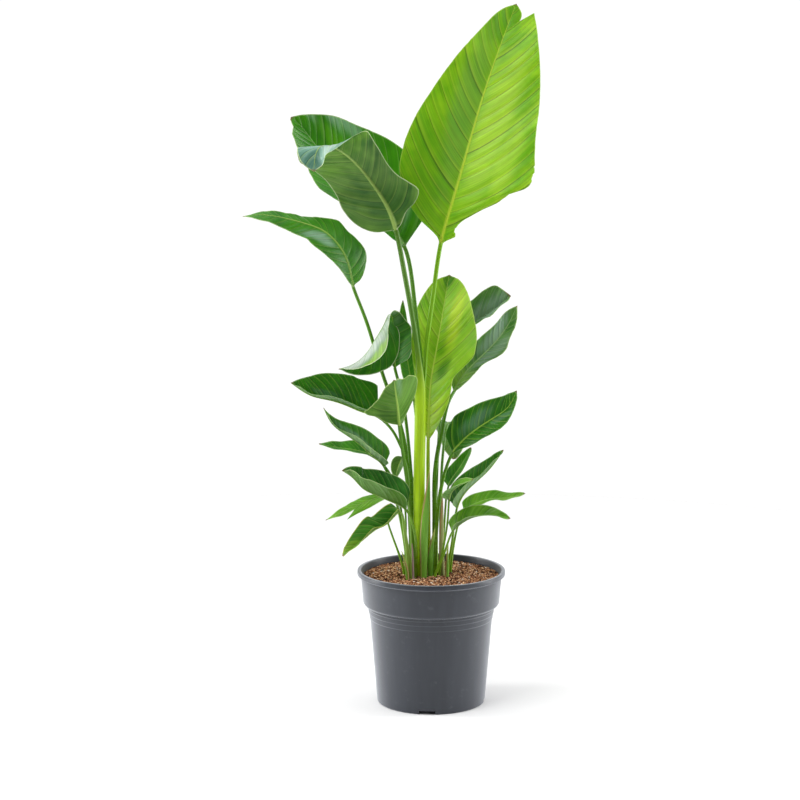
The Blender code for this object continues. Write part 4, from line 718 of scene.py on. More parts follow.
def blade_row(leaf, path, u, first, seed, noises):
    """Sizes and angles of the row at u of the blade."""
    length = path.end - path.foot
    neck = leaf["neck"]
    lean = between(leaf.get("lean", LEAN), u)
    reach_u = max(u, first)
    reach_lean = between(leaf.get("lean", LEAN), reach_u)
    widths = []
    for k, key in enumerate(("left", "right")):
        if key in leaf:
            w = reach_of_row(leaf["soft_" + key], reach_u * length, reach_lean)
        else:
            w = leaf["width"] * leaf.get(key + "_scale", 1.0)
            w *= paddle(reach_u, *leaf.get("outline", PADDLE))
            limit = max(length * (1 - reach_u), 0.05) / max(math.sin(math.radians(reach_lean)), 0.1)
            w /= (1 + (w / limit) ** 4) ** 0.25
        fray = leaf.get("fray_" + key, leaf.get("fray", 0.0))
        if fray:
            span = leaf.get("fray_span", (0.0, 1.0))
            at = u * length * FRAYS_PER_CM
            ragged = max(0.0, noises[k].at(at)) + 0.4 * abs(noises[k].at(at * 3.3 + 50))
            if span[0] <= u <= span[1]:
                w -= fray * ragged
        w += UNEVEN_MARGIN * noises[k].at(u * length * 1.6 + 100)
        if u < first:
            w = neck + (w - neck) * u / first
        widths.append(max(w, NARROWEST))
    rib = RIB_END + (neck - RIB_END) * (1 - u) ** 0.8
    rib = min(rib, 0.8 * min(widths))
    lifts = [between(leaf.get("lift_" + key, leaf.get("lift", 20)), u) for key in ("left", "right")]
    lifts = [lift * min(1.0, w / FULL_LIFT_WIDTH) for lift, w in zip(lifts, widths)]
    size = leaf.get("wave", 0.0) * min(1.0, 6 * u * (1.05 - u))
    waves = [size * math.sin(2 * math.pi * (WAVE_TURNS * u + phase)) for phase in WAVE_PHASES]
    ripples = [noises[k].at(u * length / leaf["ripple_step"] + 200) for k in (0, 1)]
    widest = max(widths)
    curls = [between(leaf.get("curl_" + key, 0), u) for key in ("left", "right")]
    return dict(widths=widths, lifts=lifts, curls=curls, waves=waves, lean=lean, rib=rib, half=HALF_THICK,
                keel=rib * KEEL, crown=CROWN, along=u * length, vein_bend=VEIN_BEND, spacing=leaf["folds"],
                seed=seed, relief=leaf["relief"] * min(1.0, widest / 3), arch=ARCH,
                ripple=leaf["ripple"] * min(1.0, widest / 2.5) * min(1.0, 8 * (1 - u)), ripples=ripples,
                rib_shows=1.0, arc=None, length=length, streaks=noises[0], patches=leaf.get("paint", ()))


def wrap_ring(m, half_turn, big):
    """Ring of a sheath: a thin wall that wraps round behind the line, open along its front."""
    arc = math.radians(half_turn) * (big - SHEATH_HALF)
    row = dict(widths=(arc, arc), lifts=(0, 0), curls=(half_turn, half_turn), waves=(0, 0), lean=0, rib=0.05,
               half=SHEATH_HALF * 0.8, keel=0.0, crown=0.0, along=0.0, vein_bend=0.0, spacing=100.0, seed=0,
               relief=0.0, arch=0.0, ripple=0.0, ripples=(0, 0), rib_shows=0.0, arc=arc, length=1.0,
               streaks=None, patches=())
    drawn = row_ring(m, row)
    return drawn[0] - np.array([0.0, big - SHEATH_HALF, 0.0]), drawn[2]


def leaf_stalk(leaf, path, m):
    """Rings of the stalk, each with its place on the path and its surface values."""
    radius, neck = leaf["radius"], leaf["neck"]
    sheath = leaf.get("sheath")
    found = []
    for u in np.linspace(0, 1, max(22, int(path.foot / 0.8)))[:-1]:
        swell = 1 + FOOT_SWELL * math.exp(-((u * path.foot - SWELL_REACH) / SWELL_REACH) ** 2)
        r = (radius + (neck - radius) * u) * swell
        ring, a = stalk_ring(m, r, GROOVE * min(1.0, 2.5 * u) * (0 if sheath and u < SHEATH_END else 1))
        below = (u * path.foot - path.foot) * CM
        place = np.stack([np.full(len(a), below), a * r * CM, np.full(len(a), 1.0)], axis=1)
        upper = (np.sin(a) > 0).astype(float)
        if sheath:
            share = between(sheath["share"], u)
            if share < 1:
                wrap, wrap_place = wrap_ring(m, between(sheath["half_turn"], u), between(sheath["size"], u))
                ring = wrap * (1 - share) + ring * share
                wrap_place[:, 0] = below
                place = wrap_place * (1 - share) + place * share
        zeros = np.zeros(len(a))
        found.append([u * path.foot, 0.0, 0.0, ring, upper, place, zeros, zeros, np.zeros((len(a), 3))])
    return found


def build_leaf(index, leaf, mats):
    """One leaf, from its foot in the soil to its tip, in place of its solid."""
    fine = leaf["fine"]
    m = COLUMNS[fine]
    base_x, base_y = leaf["base"]
    stalk = [(base_x, base_y, STANDING), (base_x, base_y, VERTICAL)] + list(leaf["stalk"])
    path = Path(stalk, leaf["rib"], leaf["faces"], leaf.get("facing_at", 0.4))
    length = path.end - path.foot
    usual = dict(neck=THIN_NECK * leaf["radius"], folds=0.055 * length + 0.25, relief=0.03 + 0.0022 * length,
                 ripple=0.05 + 0.002 * length, ripple_step=0.9 + 0.03 * length)
    leaf = dict(usual, **leaf)
    for key in ("left", "right"):
        if key in leaf:
            stretch = length / leaf[key][-1][0]
            points = [(p[0] * stretch,) + tuple(p[1:]) for p in leaf[key][:-1]] + [(length, TIP_HALF)]
            leaf["soft_" + key] = soft_outline([(0.0, 0.0)] + points)
    seed = SEED + index
    noises = [Noise(seed * 2), Noise(seed * 2 + 1)]
    sections = leaf_stalk(leaf, path, m)
    first = FIRST_ROW[fine]
    rows = [first * (i / 6) for i in range(7)]
    rows += list(np.linspace(first, 1.0, int(length / ROW_STEP[fine]))[1:])
    rows = sorted(set(rows) | set(leaf.get("extra_rows", ())))
    for u in rows:
        row = blade_row(leaf, path, u, first, seed, noises)
        drawn = row_ring(m, row)
        share = min(1.0, u / first) ** 0.6
        if share < 1:
            drawn[0] = stalk_ring(m, leaf["neck"], GROOVE)[0] * (1 - share) + drawn[0] * share
        turn = math.radians(between(leaf.get("twist", 0), u))
        sections.append([path.foot + u * length, share, turn] + drawn)
    verts = []
    marks = {"place": [], "part": [], "fold": [], "paint": [], "dry": []}
    for distance, blade, turn, ring, upper, place, on_rib, fold, paint in sections:
        where, t, side, n = path.at(distance)
        side, n = side * math.cos(turn) + n * math.sin(turn), n * math.cos(turn) - side * math.sin(turn)
        verts.append((where + ring[:, :1] * side + ring[:, 1:2] * n + ring[:, 2:] * t) * CM)
        reached = distance - path.foot + ring[:, 2]
        marks["place"].append(place)
        marks["part"].append(np.stack([upper, np.full(len(upper), blade), on_rib], axis=1))
        marks["fold"].append(fold)
        marks["paint"].append(paint)
        marks["dry"].append(0.9 * np.clip((reached - length) / DRY_TIP + 1.1, 0, 1) ** 0.7 * blade)
    name = leaf["name"] + "_grown"
    mesh = new_mesh(name, np.concatenate(verts), quads_over(len(verts), 4 * m + 2))
    piece = make_piece(name, mesh, mats[leaf["look"]], leaf["name"])
    keep_values(piece, **{mark: np.concatenate(values) for mark, values in marks.items()})


# Leaves. Each has the stalk's and the rib's points, the way its upper face looks, and how far each half is
# lifted, in degrees, from foot to tip. Left and right are as seen on the upper face with the tip up, and
# hold (distance along the rib, distance from it) where an outline is drawn. The others have a width, the
# half-width of a plain paddle outline. Paint is (tone, share of the blade's length, distance right of the
# rib, reach along, reach across, strength), and its tones are painted sheen, painted shade and a painted
# sunlit highlight. A finer leaf has more columns and rows.

LEAVES = [
    dict(name="leaf_crown", colour="bright", look="crown", fine=4, base=(-1.8, -0.35), radius=0.46,
         neck=0.34,
         paint=[("bloom", 0.5, -2.6, 0.36, 3, 0.75), ("dusk", 0.16, -6, 0.16, 3.2, 0.6),
                ("gold", 0.45, 4, 0.28, 3.4, 0.7), ("gold", 0.25, 8, 0.12, 2.6, 0.6),
                ("dusk", 0.97, 0, 0.09, 6, 0.8)],
         stalk=[(-1.9, -0.45, 33.3), (-1.7, -0.45, 43.1), (-1.45, -0.35, 50.0), (-1.15, -0.3, 54.5),
                (-0.75, -0.5, 59.4), (0.3, -0.8, 67.4)],
         rib=[(1.4, -1.0, 74.9), (3.3, -1.0, 81.7), (6.0, 0.0, 91.1), (8.6, 1.0, 99.7), (11.3, 2.5, 107.3),
              (13.3, 4.6, 112.3)],
         faces=(-0.1, -1.0, 0.2), lift=[14, 12, 10, 8, 8], wave=0.3, extra_rows=(0.905, 0.915),
         fray_right=0.25, fray_span=(0.0, 0.22), folds=2.5,
         left=[(1.2, 1.2), (2.0, 2.9), (3.2, 4.5), (4.6, 6.2), (7.4, 8.4), (9.5, 9.6), (12.7, 10.0),
               (18.0, 9.4), (22.4, 8.1), (26.3, 6.8), (30.4, 5.3), (34.8, 3.4), (38.3, 1.6), (39.9, 0.1)],
         right=[(0.8, 1.0), (1.2, 2.1), (2.9, 1.9), (6.3, 4.4), (9.2, 7.6), (11.0, 9.0), (11.6, 10.2),
                (12.9, 11.4), (14.2, 11.6), (17.0, 10.9), (20.1, 10.2), (23.6, 9.6), (27.3, 8.6),
                (30.8, 7.4), (34.9, 5.6), (39.7, 3.0, True), (36.9, 1.4, True), (37.6, 1.6), (38.6, 1.4),
                (39.3, 0.8), (39.9, 0.1)]),
    dict(name="leaf_front_upper", colour="grey", look="front", fine=4, base=(-1.85, -0.4), radius=0.52,
         neck=0.38,
         paint=[("dusk", 0.9, 0.2, 0.06, 2, 0.8), ("bloom", 0.74, -2.6, 0.08, 2, 0.7),
                ("gold", 0.1, 0, 0.14, 4, 0.7), ("gold", 0.5, -1.4, 0.12, 1, 0.5),
                ("gold", 0.35, 2.5, 0.1, 1, 0.5)],
         stalk=[(-2.0, -0.6, 33.4), (-1.85, -0.8, 44.9), (-1.85, -1.1, 52.0), (-2.1, -1.6, 56.5),
                (-3.3, -2.3, 64.4), (-4.6, -3.2, 71.6)],
         rib=[(-5.7, -4.0, 77.2), (-7.1, -4.5, 81.0), (-9.4, -5.0, 84.6), (-11.5, -6.3, 87.3),
              (-14.2, -9.2, 89.8), (-16.1, -11.6, 90.7), (-17.3, -13.4, 90.5), (-17.9, -14.7, 89.2),
              (-18.1, -15.3, 87.0)],
         faces=(0.25, 0.85, 0.45),
         lift_left=[(0, 18), (0.4, 10), (0.6, 12), (0.72, 2), (0.9, -15), (1, 0)],
         lift_right=[(0, -8), (0.25, -16), (0.5, -18), (0.8, -15), (1, 0)],
         curl_left=[(0, 0), (0.46, 0), (0.62, -65), (0.72, -60), (0.84, 0), (1, 0)],
         lean=[(0, -25), (0.12, 20), (0.33, 35), (0.5, 38), (0.67, 42), (0.83, 48), (1, 57)],
         twist=[(0, 0), (0.62, 0), (0.75, 22), (0.85, 45), (0.92, 52), (1, 52)],
         wave=0.25, folds=1.7,
         sheath=dict(share=[(0, 0), (0.57, 0), (0.66, 1), (1, 1)],
                     size=[(0, 0.82), (0.08, 0.82), (0.2, 0.94), (0.57, 0.92), (0.62, 0.80), (1, 0.6)],
                     half_turn=[(0, 150), (0.3, 140), (0.5, 105), (0.57, 95), (0.66, 70), (1, 70)]),
         left=[(0.5, 0.8), (2.2, 2.3), (3.4, 4.6), (4.7, 5.6), (6.0, 4.9), (7.6, 4.1), (9.6, 4.0),
               (12.3, 4.3), (15.5, 4.8), (18.5, 5.7), (21.0, 5.0), (23.5, 3.0), (25.4, 1.3), (26.4, 0.1)],
         right=[(0.1, 1.2), (0.4, 3.4), (2.0, 5.5), (5.3, 6.8), (9.7, 6.0), (12.1, 5.8), (15.0, 5.9),
                (17.5, 5.6), (20.1, 5.6), (21.8, 4.6), (23.5, 3.1), (25.4, 1.9), (26.4, 0.1)]),
    dict(name="leaf_back_upper", colour="dark", look="back", fine=4, base=(-1.8, 1.5), radius=0.45,
         neck=0.33,
         paint=[("bloom", 0.86, 4, 0.1, 1.2, 0.6), ("bloom", 0.68, 7.2, 0.14, 1.4, 0.6),
                ("bloom", 0.45, 8.6, 0.16, 1.4, 0.45), ("gold", 0.6, 3.5, 0.2, 1.5, 0.4)],
         stalk=[(-1.8, 1.3, 33.0), (-1.7, 0.9, 44.5), (-1.7, 0.6, 54.3), (-2.8, 0.6, 65.6)],
         rib=[(-4.4, 1.3, 74.2), (-7.0, 2.6, 77.3), (-9.9, 3.6, 80.3), (-13.1, 4.0, 83.6),
              (-16.2, 4.0, 87.1), (-19.1, 3.4, 90.9), (-20.6, 2.7, 92.9), (-22.3, 2.0, 94.6)],
         faces=(0.15, -0.9, 0.35), lift_left=[50, 45, 40, 40, 40], lift_right=[10, 8, 5, 5, 5], wave=0.25,
         left=[(0.5, 1.2), (0.9, 2.0), (3.7, 3.3), (7.8, 4.4), (12.9, 6.3), (16.5, 7.3), (18.8, 6.4),
               (21.5, 5.0), (24.2, 4.2), (26.1, 3.5), (27.3, 1.8), (27.8, 0.06)],
         right=[(0.3, 1.3), (0.9, 3.0), (2.0, 4.6), (4.5, 7.4), (8.0, 10.3), (10.2, 10.9), (12.4, 10.4),
                (15.6, 9.4), (18.8, 8.1), (22.4, 6.2), (25.0, 3.7), (26.6, 1.7), (27.8, 0.06)]),
    dict(name="leaf_far_left", colour="mid", look="far", fine=3, base=(-3.1, 1.0), radius=0.36, neck=0.28,
         paint=[("bloom", 0.4, -1.8, 0.1, 1.3, 0.8), ("bloom", 0.35, -6, 0.25, 1, 0.5)],
         stalk=[(-3.6, 1.0, 33.1), (-4.4, 1.0, 42.9), (-6.2, 0.7, 49.0), (-8.3, 0.5, 55.2),
                (-10.5, 0.2, 62.5)],
         rib=[(-12.5, 0.0, 67.8), (-12.9, -0.5, 69.7), (-13.5, -1.0, 72.2), (-14.7, -1.4, 74.5),
              (-17.0, -1.8, 76.8), (-20.1, -2.0, 78.1), (-23.6, -2.0, 79.0), (-26.9, -1.5, 79.4),
              (-29.9, -0.5, 79.1)],
         faces=(0.4, -0.3, 0.85), lift_left=[-10, -30, -35, -35, -25, -20],
         lift_right=[42, 40, 26, 14, 10, 15, 20], wave=0.12, fray=0.05, ripple=0.14,
         lean=[5, 20, 35, 38, 42, 48, 57],
         left=[(1.0, 0.8), (3.4, 2.1), (5.8, 3.1), (10.0, 3.8), (14.5, 2.6), (18.5, 1.6), (21.5, 1.1),
               (24.1, 0.1)],
         right=[(0.2, 0.6), (0.7, 1.9), (3.0, 3.6), (4.6, 4.0), (6.4, 3.7), (8.4, 3.2), (10.0, 3.3),
                (11.5, 2.6), (13.5, 2.1), (17.5, 1.3), (21.0, 1.0), (24.1, 0.1)]),
    dict(name="leaf_middle", colour="bright", look="middle", fine=4, base=(-0.5, 1.0), radius=0.46,
         neck=0.28,
         paint=[("dusk", 0.95, 0.5, 0.06, 3, 0.8), ("dusk", 0.37, 2.6, 0.06, 1.6, 0.7),
                ("gold", 0.62, 3.2, 0.16, 1.6, 0.8), ("gold", 0.12, 0, 0.1, 3, 0.6)],
         stalk=[(-0.5, 1.5, 33.0)],
         rib=[(-0.5, 2.4, 42.8), (-0.3, 2.8, 47.6), (-0.1, 3.2, 51.5), (0.8, 3.7, 57.1), (1.6, 4.2, 61.6),
              (2.3, 5.5, 65.7), (2.9, 7.5, 69.0)],
         faces=(-0.2, -1.0, 0.1), lift_left=[10, 0, -5, 0, 5], lift_right=[30, 25, 20, 15, 15], wave=0.2,
         left=[(1.0, 0.7), (3.1, 1.5), (9.4, 2.6), (15.4, 4.3), (20.2, 4.6), (23.6, 3.6), (26.2, 2.0),
               (27.6, 0.06)],
         right=[(1.0, 1.0), (4.2, 2.8), (8.1, 4.1), (10.3, 4.4), (12.5, 6.3), (14.4, 7.6), (16.7, 7.3),
                (21.1, 5.6), (24.8, 3.6), (26.8, 1.7), (27.6, 0.06)]),
    dict(name="leaf_right_back", colour="mid", look="sheen", fine=3, base=(0.5, 2.2), radius=0.25, neck=0.2,
         paint=[("bloom", 0.55, 0, 0.35, 2.6, 0.65)],
         stalk=[(0.8, 2.6, 32.8), (1.3, 4.0, 44.1), (2.1, 5.5, 52.1)],
         rib=[(3.2, 7.0, 57.6), (5.0, 8.0, 59.8), (7.6, 9.0, 61.4), (10.4, 9.4, 63.2), (13.0, 9.0, 65.4)],
         faces=(-0.4, -0.5, 0.8), lift_left=[60, 65, 60, 50], lift_right=[30, 25, 25, 25], wave=0.15,
         left=[(1.0, 1.0), (4.0, 3.0), (7.0, 3.3), (9.9, 3.7), (12.0, 3.2), (12.9, 1.6), (13.2, 0.06)],
         right=[(0.6, 1.4), (1.6, 3.0), (4.3, 3.8), (8.2, 1.9), (11.4, 1.2), (13.2, 0.06)]),
    dict(name="leaf_right_high", colour="mid", look="sheen", fine=3, base=(0.6, 1.25), radius=0.56,
         neck=0.26,
         paint=[("bloom", 0.6, -1.3, 0.22, 1.4, 0.6), ("bloom", 0.45, 1.3, 0.2, 1.2, 0.5),
                ("gold", 0.12, 0, 0.1, 2, 0.25)],
         stalk=[(0.6, 1.35, 31.3), (0.65, 1.8, 37.8), (1.7, 2.9, 44.3), (2.8, 3.9, 48.7)],
         rib=[(3.7, 5.0, 50.2), (5.0, 6.0, 52.3), (7.0, 7.0, 54.5), (9.5, 8.0, 56.8), (11.6, 8.5, 59.2),
              (13.0, 8.5, 61.5), (14.0, 8.0, 63.9)],
         faces=(-0.5, -0.5, 0.6), lift_left=[40, 30, 25, 30], lift_right=[10, -10, -20, -10], wave=0.15,
         left=[(1.0, 1.0), (4.0, 2.4), (9.5, 2.6), (12.5, 2.3), (15.5, 1.8), (17.2, 0.8), (18.1, 0.06)],
         right=[(1.0, 1.0), (2.6, 1.7), (6.9, 1.7), (9.4, 2.5), (11.2, 2.4), (12.8, 1.7), (15.5, 1.3),
                (18.1, 0.06)]),
    dict(name="leaf_right_mid", colour="dark", look="dark", fine=3, base=(0.4, -0.4), radius=0.46, neck=0.24,
         paint=[("bloom", 0.35, -1.6, 0.2, 1.2, 0.4), ("bloom", 0.62, 1.2, 0.14, 0.7, 0.35)],
         stalk=[(0.9, 0.1, 30.0), (1.6, 1.1, 35.1), (2.4, 2.0, 38.1)],
         rib=[(3.5, 2.7, 40.6), (4.7, 2.8, 42.0), (5.8, 2.5, 43.2), (8.3, 1.5, 45.3), (10.6, 0.5, 47.0),
              (12.4, 0.0, 48.6), (13.6, -0.5, 51.2)],
         faces=(-0.3, -0.8, 0.5), lift=[25, 20, 15, 15], wave=0.14,
         left=[(0.6, 1.4), (1.4, 2.5), (3.2, 3.6), (6.8, 3.5), (10.9, 2.7), (13.2, 1.9), (15.3, 0.06)],
         right=[(0.6, 0.8), (3.4, 2.4), (7.2, 3.0), (10.5, 2.7), (13.0, 1.3), (15.3, 0.06)]),
    dict(name="leaf_tent", colour="grey", look="tent", fine=3, base=(-2.5, 2.4), radius=0.33, neck=0.25,
         paint=[("bloom", 0.7, -1, 0.3, 1.2, 0.7), ("gold", 0.62, -3.6, 0.3, 1, 0.7)],
         stalk=[(-3.0, 2.2, 32.9), (-3.8, 2.8, 43.0), (-4.9, 3.2, 50.5)],
         rib=[(-5.9, 3.3, 54.3), (-6.2, 3.4, 57.3), (-6.3, 3.1, 60.6), (-6.5, 2.2, 62.8), (-7.0, 0.8, 63.1),
              (-7.6, -0.2, 61.9), (-9.0, -1.2, 59.6), (-10.0, -1.8, 58.0), (-11.4, -2.4, 56.5),
              (-13.0, -2.9, 55.6), (-14.8, -3.2, 55.1)],
         faces=(-0.6, 0.4, 0.65), facing_at=0.75, lift=[-10, -20, -45, -50, -45, -40], wave=0.08,
         lean=[(0, 0), (0.1, 10), (0.3, -3), (0.45, 0), (0.6, 20), (0.8, 45), (1, 57)],
         left=[(0.5, 1.6), (1.2, 3.6), (3.3, 4.3), (4.9, 3.9), (6.4, 3.3), (7.6, 2.3), (8.6, 1.7),
               (9.8, 1.2), (11.2, 1.2), (12.6, 1.6), (14.4, 3.0), (16.7, 4.1), (18.9, 3.1), (20.0, 2.3),
               (21.6, 1.2), (22.9, 0.06)],
         right=[(0.7, 0.9), (2.2, 2.0), (4.5, 2.2), (6.5, 1.6), (8.5, 1.5), (10.5, 2.0), (12.4, 3.4),
                (14.5, 4.6), (16.8, 4.9), (18.6, 3.9), (20.7, 2.0), (21.9, 0.9), (22.9, 0.06)]),
    dict(name="leaf_tent_back", colour="mid", look="far", fine=2, base=(-1.4, 2.9), radius=0.22, neck=0.18,
         width=1.7,
         stalk=[(-1.7, 3.9, 32.7), (-2.2, 5.5, 42.6)],
         rib=[(-3.1, 6.6, 50.6), (-4.1, 7.1, 56.5), (-4.6, 7.2, 61.0), (-4.6, 7.2, 64.9)],
         faces=(0.1, -1.0, 0.1), lift=[20, 20]),
    dict(name="leaf_left_long", colour="mid", look="dark", fine=3, base=(-3.0, 0.1), radius=0.28, neck=0.22,
         paint=[("bloom", 0.3, -1.5, 0.22, 0.7, 0.3), ("bloom", 0.55, 1.2, 0.16, 0.6, 0.25)],
         stalk=[(-3.2, 0.1, 31.8), (-3.9, 0.0, 39.6), (-5.0, 0.0, 42.2), (-6.1, 0.0, 44.4)],
         rib=[(-8.6, 0.0, 46.9), (-11.0, -0.5, 47.8), (-13.5, -1.0, 48.9), (-16.4, -1.5, 49.9),
              (-19.3, -2.0, 50.7), (-22.4, -2.5, 52.8)],
         faces=(0.1, -0.45, 0.9), lift=[58, 58, 55, 50], wave=0.12,
         left=[(0.8, 0.8), (3.0, 1.3), (8.0, 1.5), (12.0, 1.3), (14.4, 0.7), (15.4, 0.06)],
         right=[(0.6, 1.6), (1.4, 3.4), (2.6, 4.6), (4.5, 5.0), (8.4, 4.3), (11.0, 3.7), (13.2, 2.6),
                (14.7, 1.2), (15.4, 0.06)]),
    dict(name="leaf_left_broad", colour="grey", look="broad", fine=3, base=(-2.9, -1.0), radius=0.33,
         neck=0.26,
         paint=[("dusk", 0.22, 2, 0.14, 1.4, 0.6), ("bloom", 0.65, -1.6, 0.2, 0.9, 0.35)],
         stalk=[(-3.3, -1.0, 30.4), (-4.0, -1.2, 37.0), (-4.7, -2.2, 42.0)],
         rib=[(-5.2, -4.0, 46.2), (-5.4, -7.3, 49.2), (-5.7, -11.0, 52.1), (-6.0, -15.0, 55.1)],
         faces=(0.0, 0.6, 0.8), lift_right=[-10, -5, 0, 10], lift_left=[50, 60, 62, 50], wave=0.15,
         lean=[-25, -5, 15, 28, 45, 60],
         left=[(0.4, 1.6), (1.2, 3.2), (3.0, 5.0), (5.6, 5.9), (8.0, 4.6), (10.3, 2.6), (12.6, 1.0),
               (13.9, 0.06)],
         right=[(0.4, 1.0), (1.3, 2.2), (3.0, 3.4), (4.0, 5.0), (4.6, 5.3), (5.4, 4.6), (7.3, 3.4),
                (11.2, 1.5), (13.9, 0.06)]),
    dict(name="leaf_left_a", colour="mid", look="far", fine=3, base=(-3.8, -0.7), radius=0.25, neck=0.2,
         paint=[("bloom", 0.5, 0.8, 0.24, 0.6, 0.5)],
         width=3.2,
         stalk=[(-4.7, 0.0, 28.5), (-5.9, 0.1, 33.9)],
         rib=[(-7.6, -0.9, 38.9), (-9.4, -2.4, 41.0), (-11.6, -3.8, 43.2), (-13.8, -5.0, 45.0),
              (-15.7, -5.5, 46.6), (-17.1, -6.0, 49.3)],
         faces=(0.4, -0.5, 0.75), lift=[50, 50, 45], wave=0.12, outline=(0.22, 0.9)),
    dict(name="leaf_left_b", colour="mid", look="far", fine=2, base=(-4.0, 0.8), radius=0.22, neck=0.17,
         width=2.2,
         stalk=[(-4.5, 0.9, 28.2), (-5.4, 1.0, 33.9), (-6.7, 1.0, 37.4)],
         rib=[(-8.5, 0.8, 39.6), (-11.5, 0.3, 41.2), (-14.7, 0.0, 41.8), (-18.1, 0.0, 42.5)],
         faces=(0.2, -0.4, 0.9), lift=[25, 20, 20], wave=0.1),
    dict(name="leaf_left_c", colour="mid", look="wet", fine=3, base=(-2.55, -1.9), radius=0.25, neck=0.2,
         paint=[("bloom", 0.4, 1.1, 0.22, 0.8, 0.55)],
         width=4.0, right_scale=1.2,
         stalk=[(-2.5, -2.6, 26.4), (-3.0, -2.8, 29.9)],
         rib=[(-4.1, -2.6, 32.2), (-6.6, -2.9, 33.7), (-9.0, -3.2, 34.8), (-11.0, -3.4, 35.9),
              (-12.6, -3.5, 37.6), (-14.3, -3.6, 38.8)],
         faces=(0.35, -0.5, 0.8), lift_left=[70, 78, 72], lift_right=[45, 50, 45], wave=0.12,
         outline=(0.25, 0.8)),
    dict(name="leaf_left_behind", colour="dark", look="wet", fine=2, base=(-2.4, 3.6), radius=0.2, neck=0.16,
         width=1.6,
         stalk=[(-2.6, 4.0, 30.5), (-3.2, 4.6, 36.9)],
         rib=[(-4.2, 5.6, 39.2), (-5.2, 7.0, 38.0), (-5.8, 8.2, 35.4)],
         faces=(-0.2, 0.5, 0.8), lift=[10, 10]),
    dict(name="leaf_low_left_a", colour="light", look="pale", fine=3, base=(-4.0, 1.9), radius=0.2,
         neck=0.16,
         stalk=[(-4.1, 2.1, 28.0)],
         rib=[(-5.1, 2.2, 33.4), (-8.6, 1.2, 33.4), (-11.4, 0.2, 32.6), (-14.1, -1.0, 31.6),
              (-17.0, -2.0, 30.4)],
         faces=(0.0, -0.35, 0.95), lift_left=[0, -10, -15, -10], lift_right=[10, 10, 5], wave=0.08,
         lean=[45, 60, 62, 62], extra_rows=(0.64, 0.67),
         left=[(1.0, 0.7), (4.0, 1.3), (7.0, 1.7), (9.5, 2.1), (10.6, 2.3, True), (8.4, 0.6, True),
               (11.0, 0.6), (13.3, 0.2)],
         right=[(1.0, 0.8), (4.0, 1.1), (8.0, 1.1), (11.0, 0.7), (13.3, 0.2)]),
    dict(name="leaf_low_left_b", colour="yellow", look="ageing", fine=3, base=(-3.4, -2.2), radius=0.55,
         paint=[("gold", 0.8, 0.8, 0.16, 1, 0.4), ("dusk", 0.35, -0.8, 0.18, 0.9, 0.5)],
         neck=0.2, width=3.0,
         stalk=[(-3.8, -2.7, 25.4), (-4.4, -3.3, 29.5)],
         rib=[(-5.1, -3.9, 32.2), (-7.0, -4.9, 30.6), (-8.7, -5.6, 29.8), (-10.2, -6.3, 28.8),
              (-12.1, -7.0, 27.3), (-14.2, -7.3, 25.7)],
         faces=(0.1, -0.4, 0.9), lift=[55, 50, 40], wave=0.1),
    dict(name="leaf_low_left_back", colour="light", look="pale", fine=2, base=(-4.4, 0.0), radius=0.2,
         neck=0.16, width=1.6,
         stalk=[(-5.6, 0.8, 25.2)],
         rib=[(-7.2, 3.0, 29.5), (-6.9, 7.0, 29.7), (-6.1, 11.0, 29.0), (-4.7, 15.0, 27.7)],
         faces=(0.0, -0.2, 1.0), lift=[25, 20]),
    dict(name="leaf_right_a", colour="mid", look="far", fine=2, base=(1.6, 1.8), radius=0.2, neck=0.16,
         width=1.9,
         stalk=[(2.2, 2.2, 29.4)],
         rib=[(2.8, 3.0, 34.9), (3.9, 3.5, 36.8), (5.2, 4.0, 38.7), (6.5, 5.0, 41.0)],
         faces=(-0.5, -0.6, 0.6), lift=[25, 20]),
    dict(name="leaf_right_b", colour="mid", look="dark", fine=3, base=(2.7, 0.6), radius=0.22, neck=0.18,
         paint=[("bloom", 0.45, 0.7, 0.2, 0.5, 0.5)],
         width=2.8,
         stalk=[(3.3, 0.3, 25.8), (3.7, 0.0, 29.2)],
         rib=[(4.1, 0.0, 31.8), (4.8, -0.5, 33.7), (5.9, -1.0, 35.3), (7.8, -2.0, 37.3), (9.6, -3.0, 39.4),
              (11.4, -3.5, 42.1)],
         faces=(-0.45, -0.5, 0.75), lift=[50, 50, 40], wave=0.12),
    dict(name="leaf_right_c", colour="light", look="pale", fine=2, base=(1.3, -1.2), radius=0.2, neck=0.16,
         width=1.9,
         stalk=[(2.0, -1.6, 26.2), (2.6, -2.0, 30.4)],
         rib=[(2.8, -2.5, 33.8), (3.2, -4.0, 35.5), (4.4, -6.0, 36.9), (6.4, -8.5, 38.3)],
         faces=(-0.2, -0.4, 0.9), lift=[25, 20]),
    dict(name="leaf_low_right_a", colour="light", look="pale", fine=2, base=(3.2, 2.0), radius=0.2,
         neck=0.16, width=2.1,
         stalk=[(3.7, 2.8, 25.2), (4.4, 3.6, 28.4)],
         rib=[(5.4, 4.5, 30.5), (7.2, 5.0, 31.6), (9.7, 5.5, 32.3), (12.3, 5.5, 32.5), (15.4, 5.0, 33.4)],
         faces=(-0.1, -0.4, 0.9), lift=[25, 20], wave=0.1),
    dict(name="leaf_low_right_b", colour="mid", look="pale", fine=2, base=(0.6, -2.0), radius=0.22,
         neck=0.17,
         paint=[("dusk", 0.2, 0, 0.12, 1.5, 0.4), ("bloom", 0.6, 0.6, 0.2, 0.6, 0.35)],
         width=2.3,
         stalk=[(1.9, -2.3, 24.6)],
         rib=[(3.3, -2.2, 28.4), (4.6, -2.2, 29.8), (6.5, -3.2, 31.1), (9.0, -4.2, 31.7), (10.9, -4.8, 31.6),
              (12.5, -5.0, 31.3)],
         faces=(-0.1, -0.5, 0.85), lift=[40, 35], wave=0.1),
    dict(name="leaf_right_behind", colour="dark", look="wet", fine=3, base=(1.6, 3.2), radius=0.28,
         neck=0.22, width=3.7,
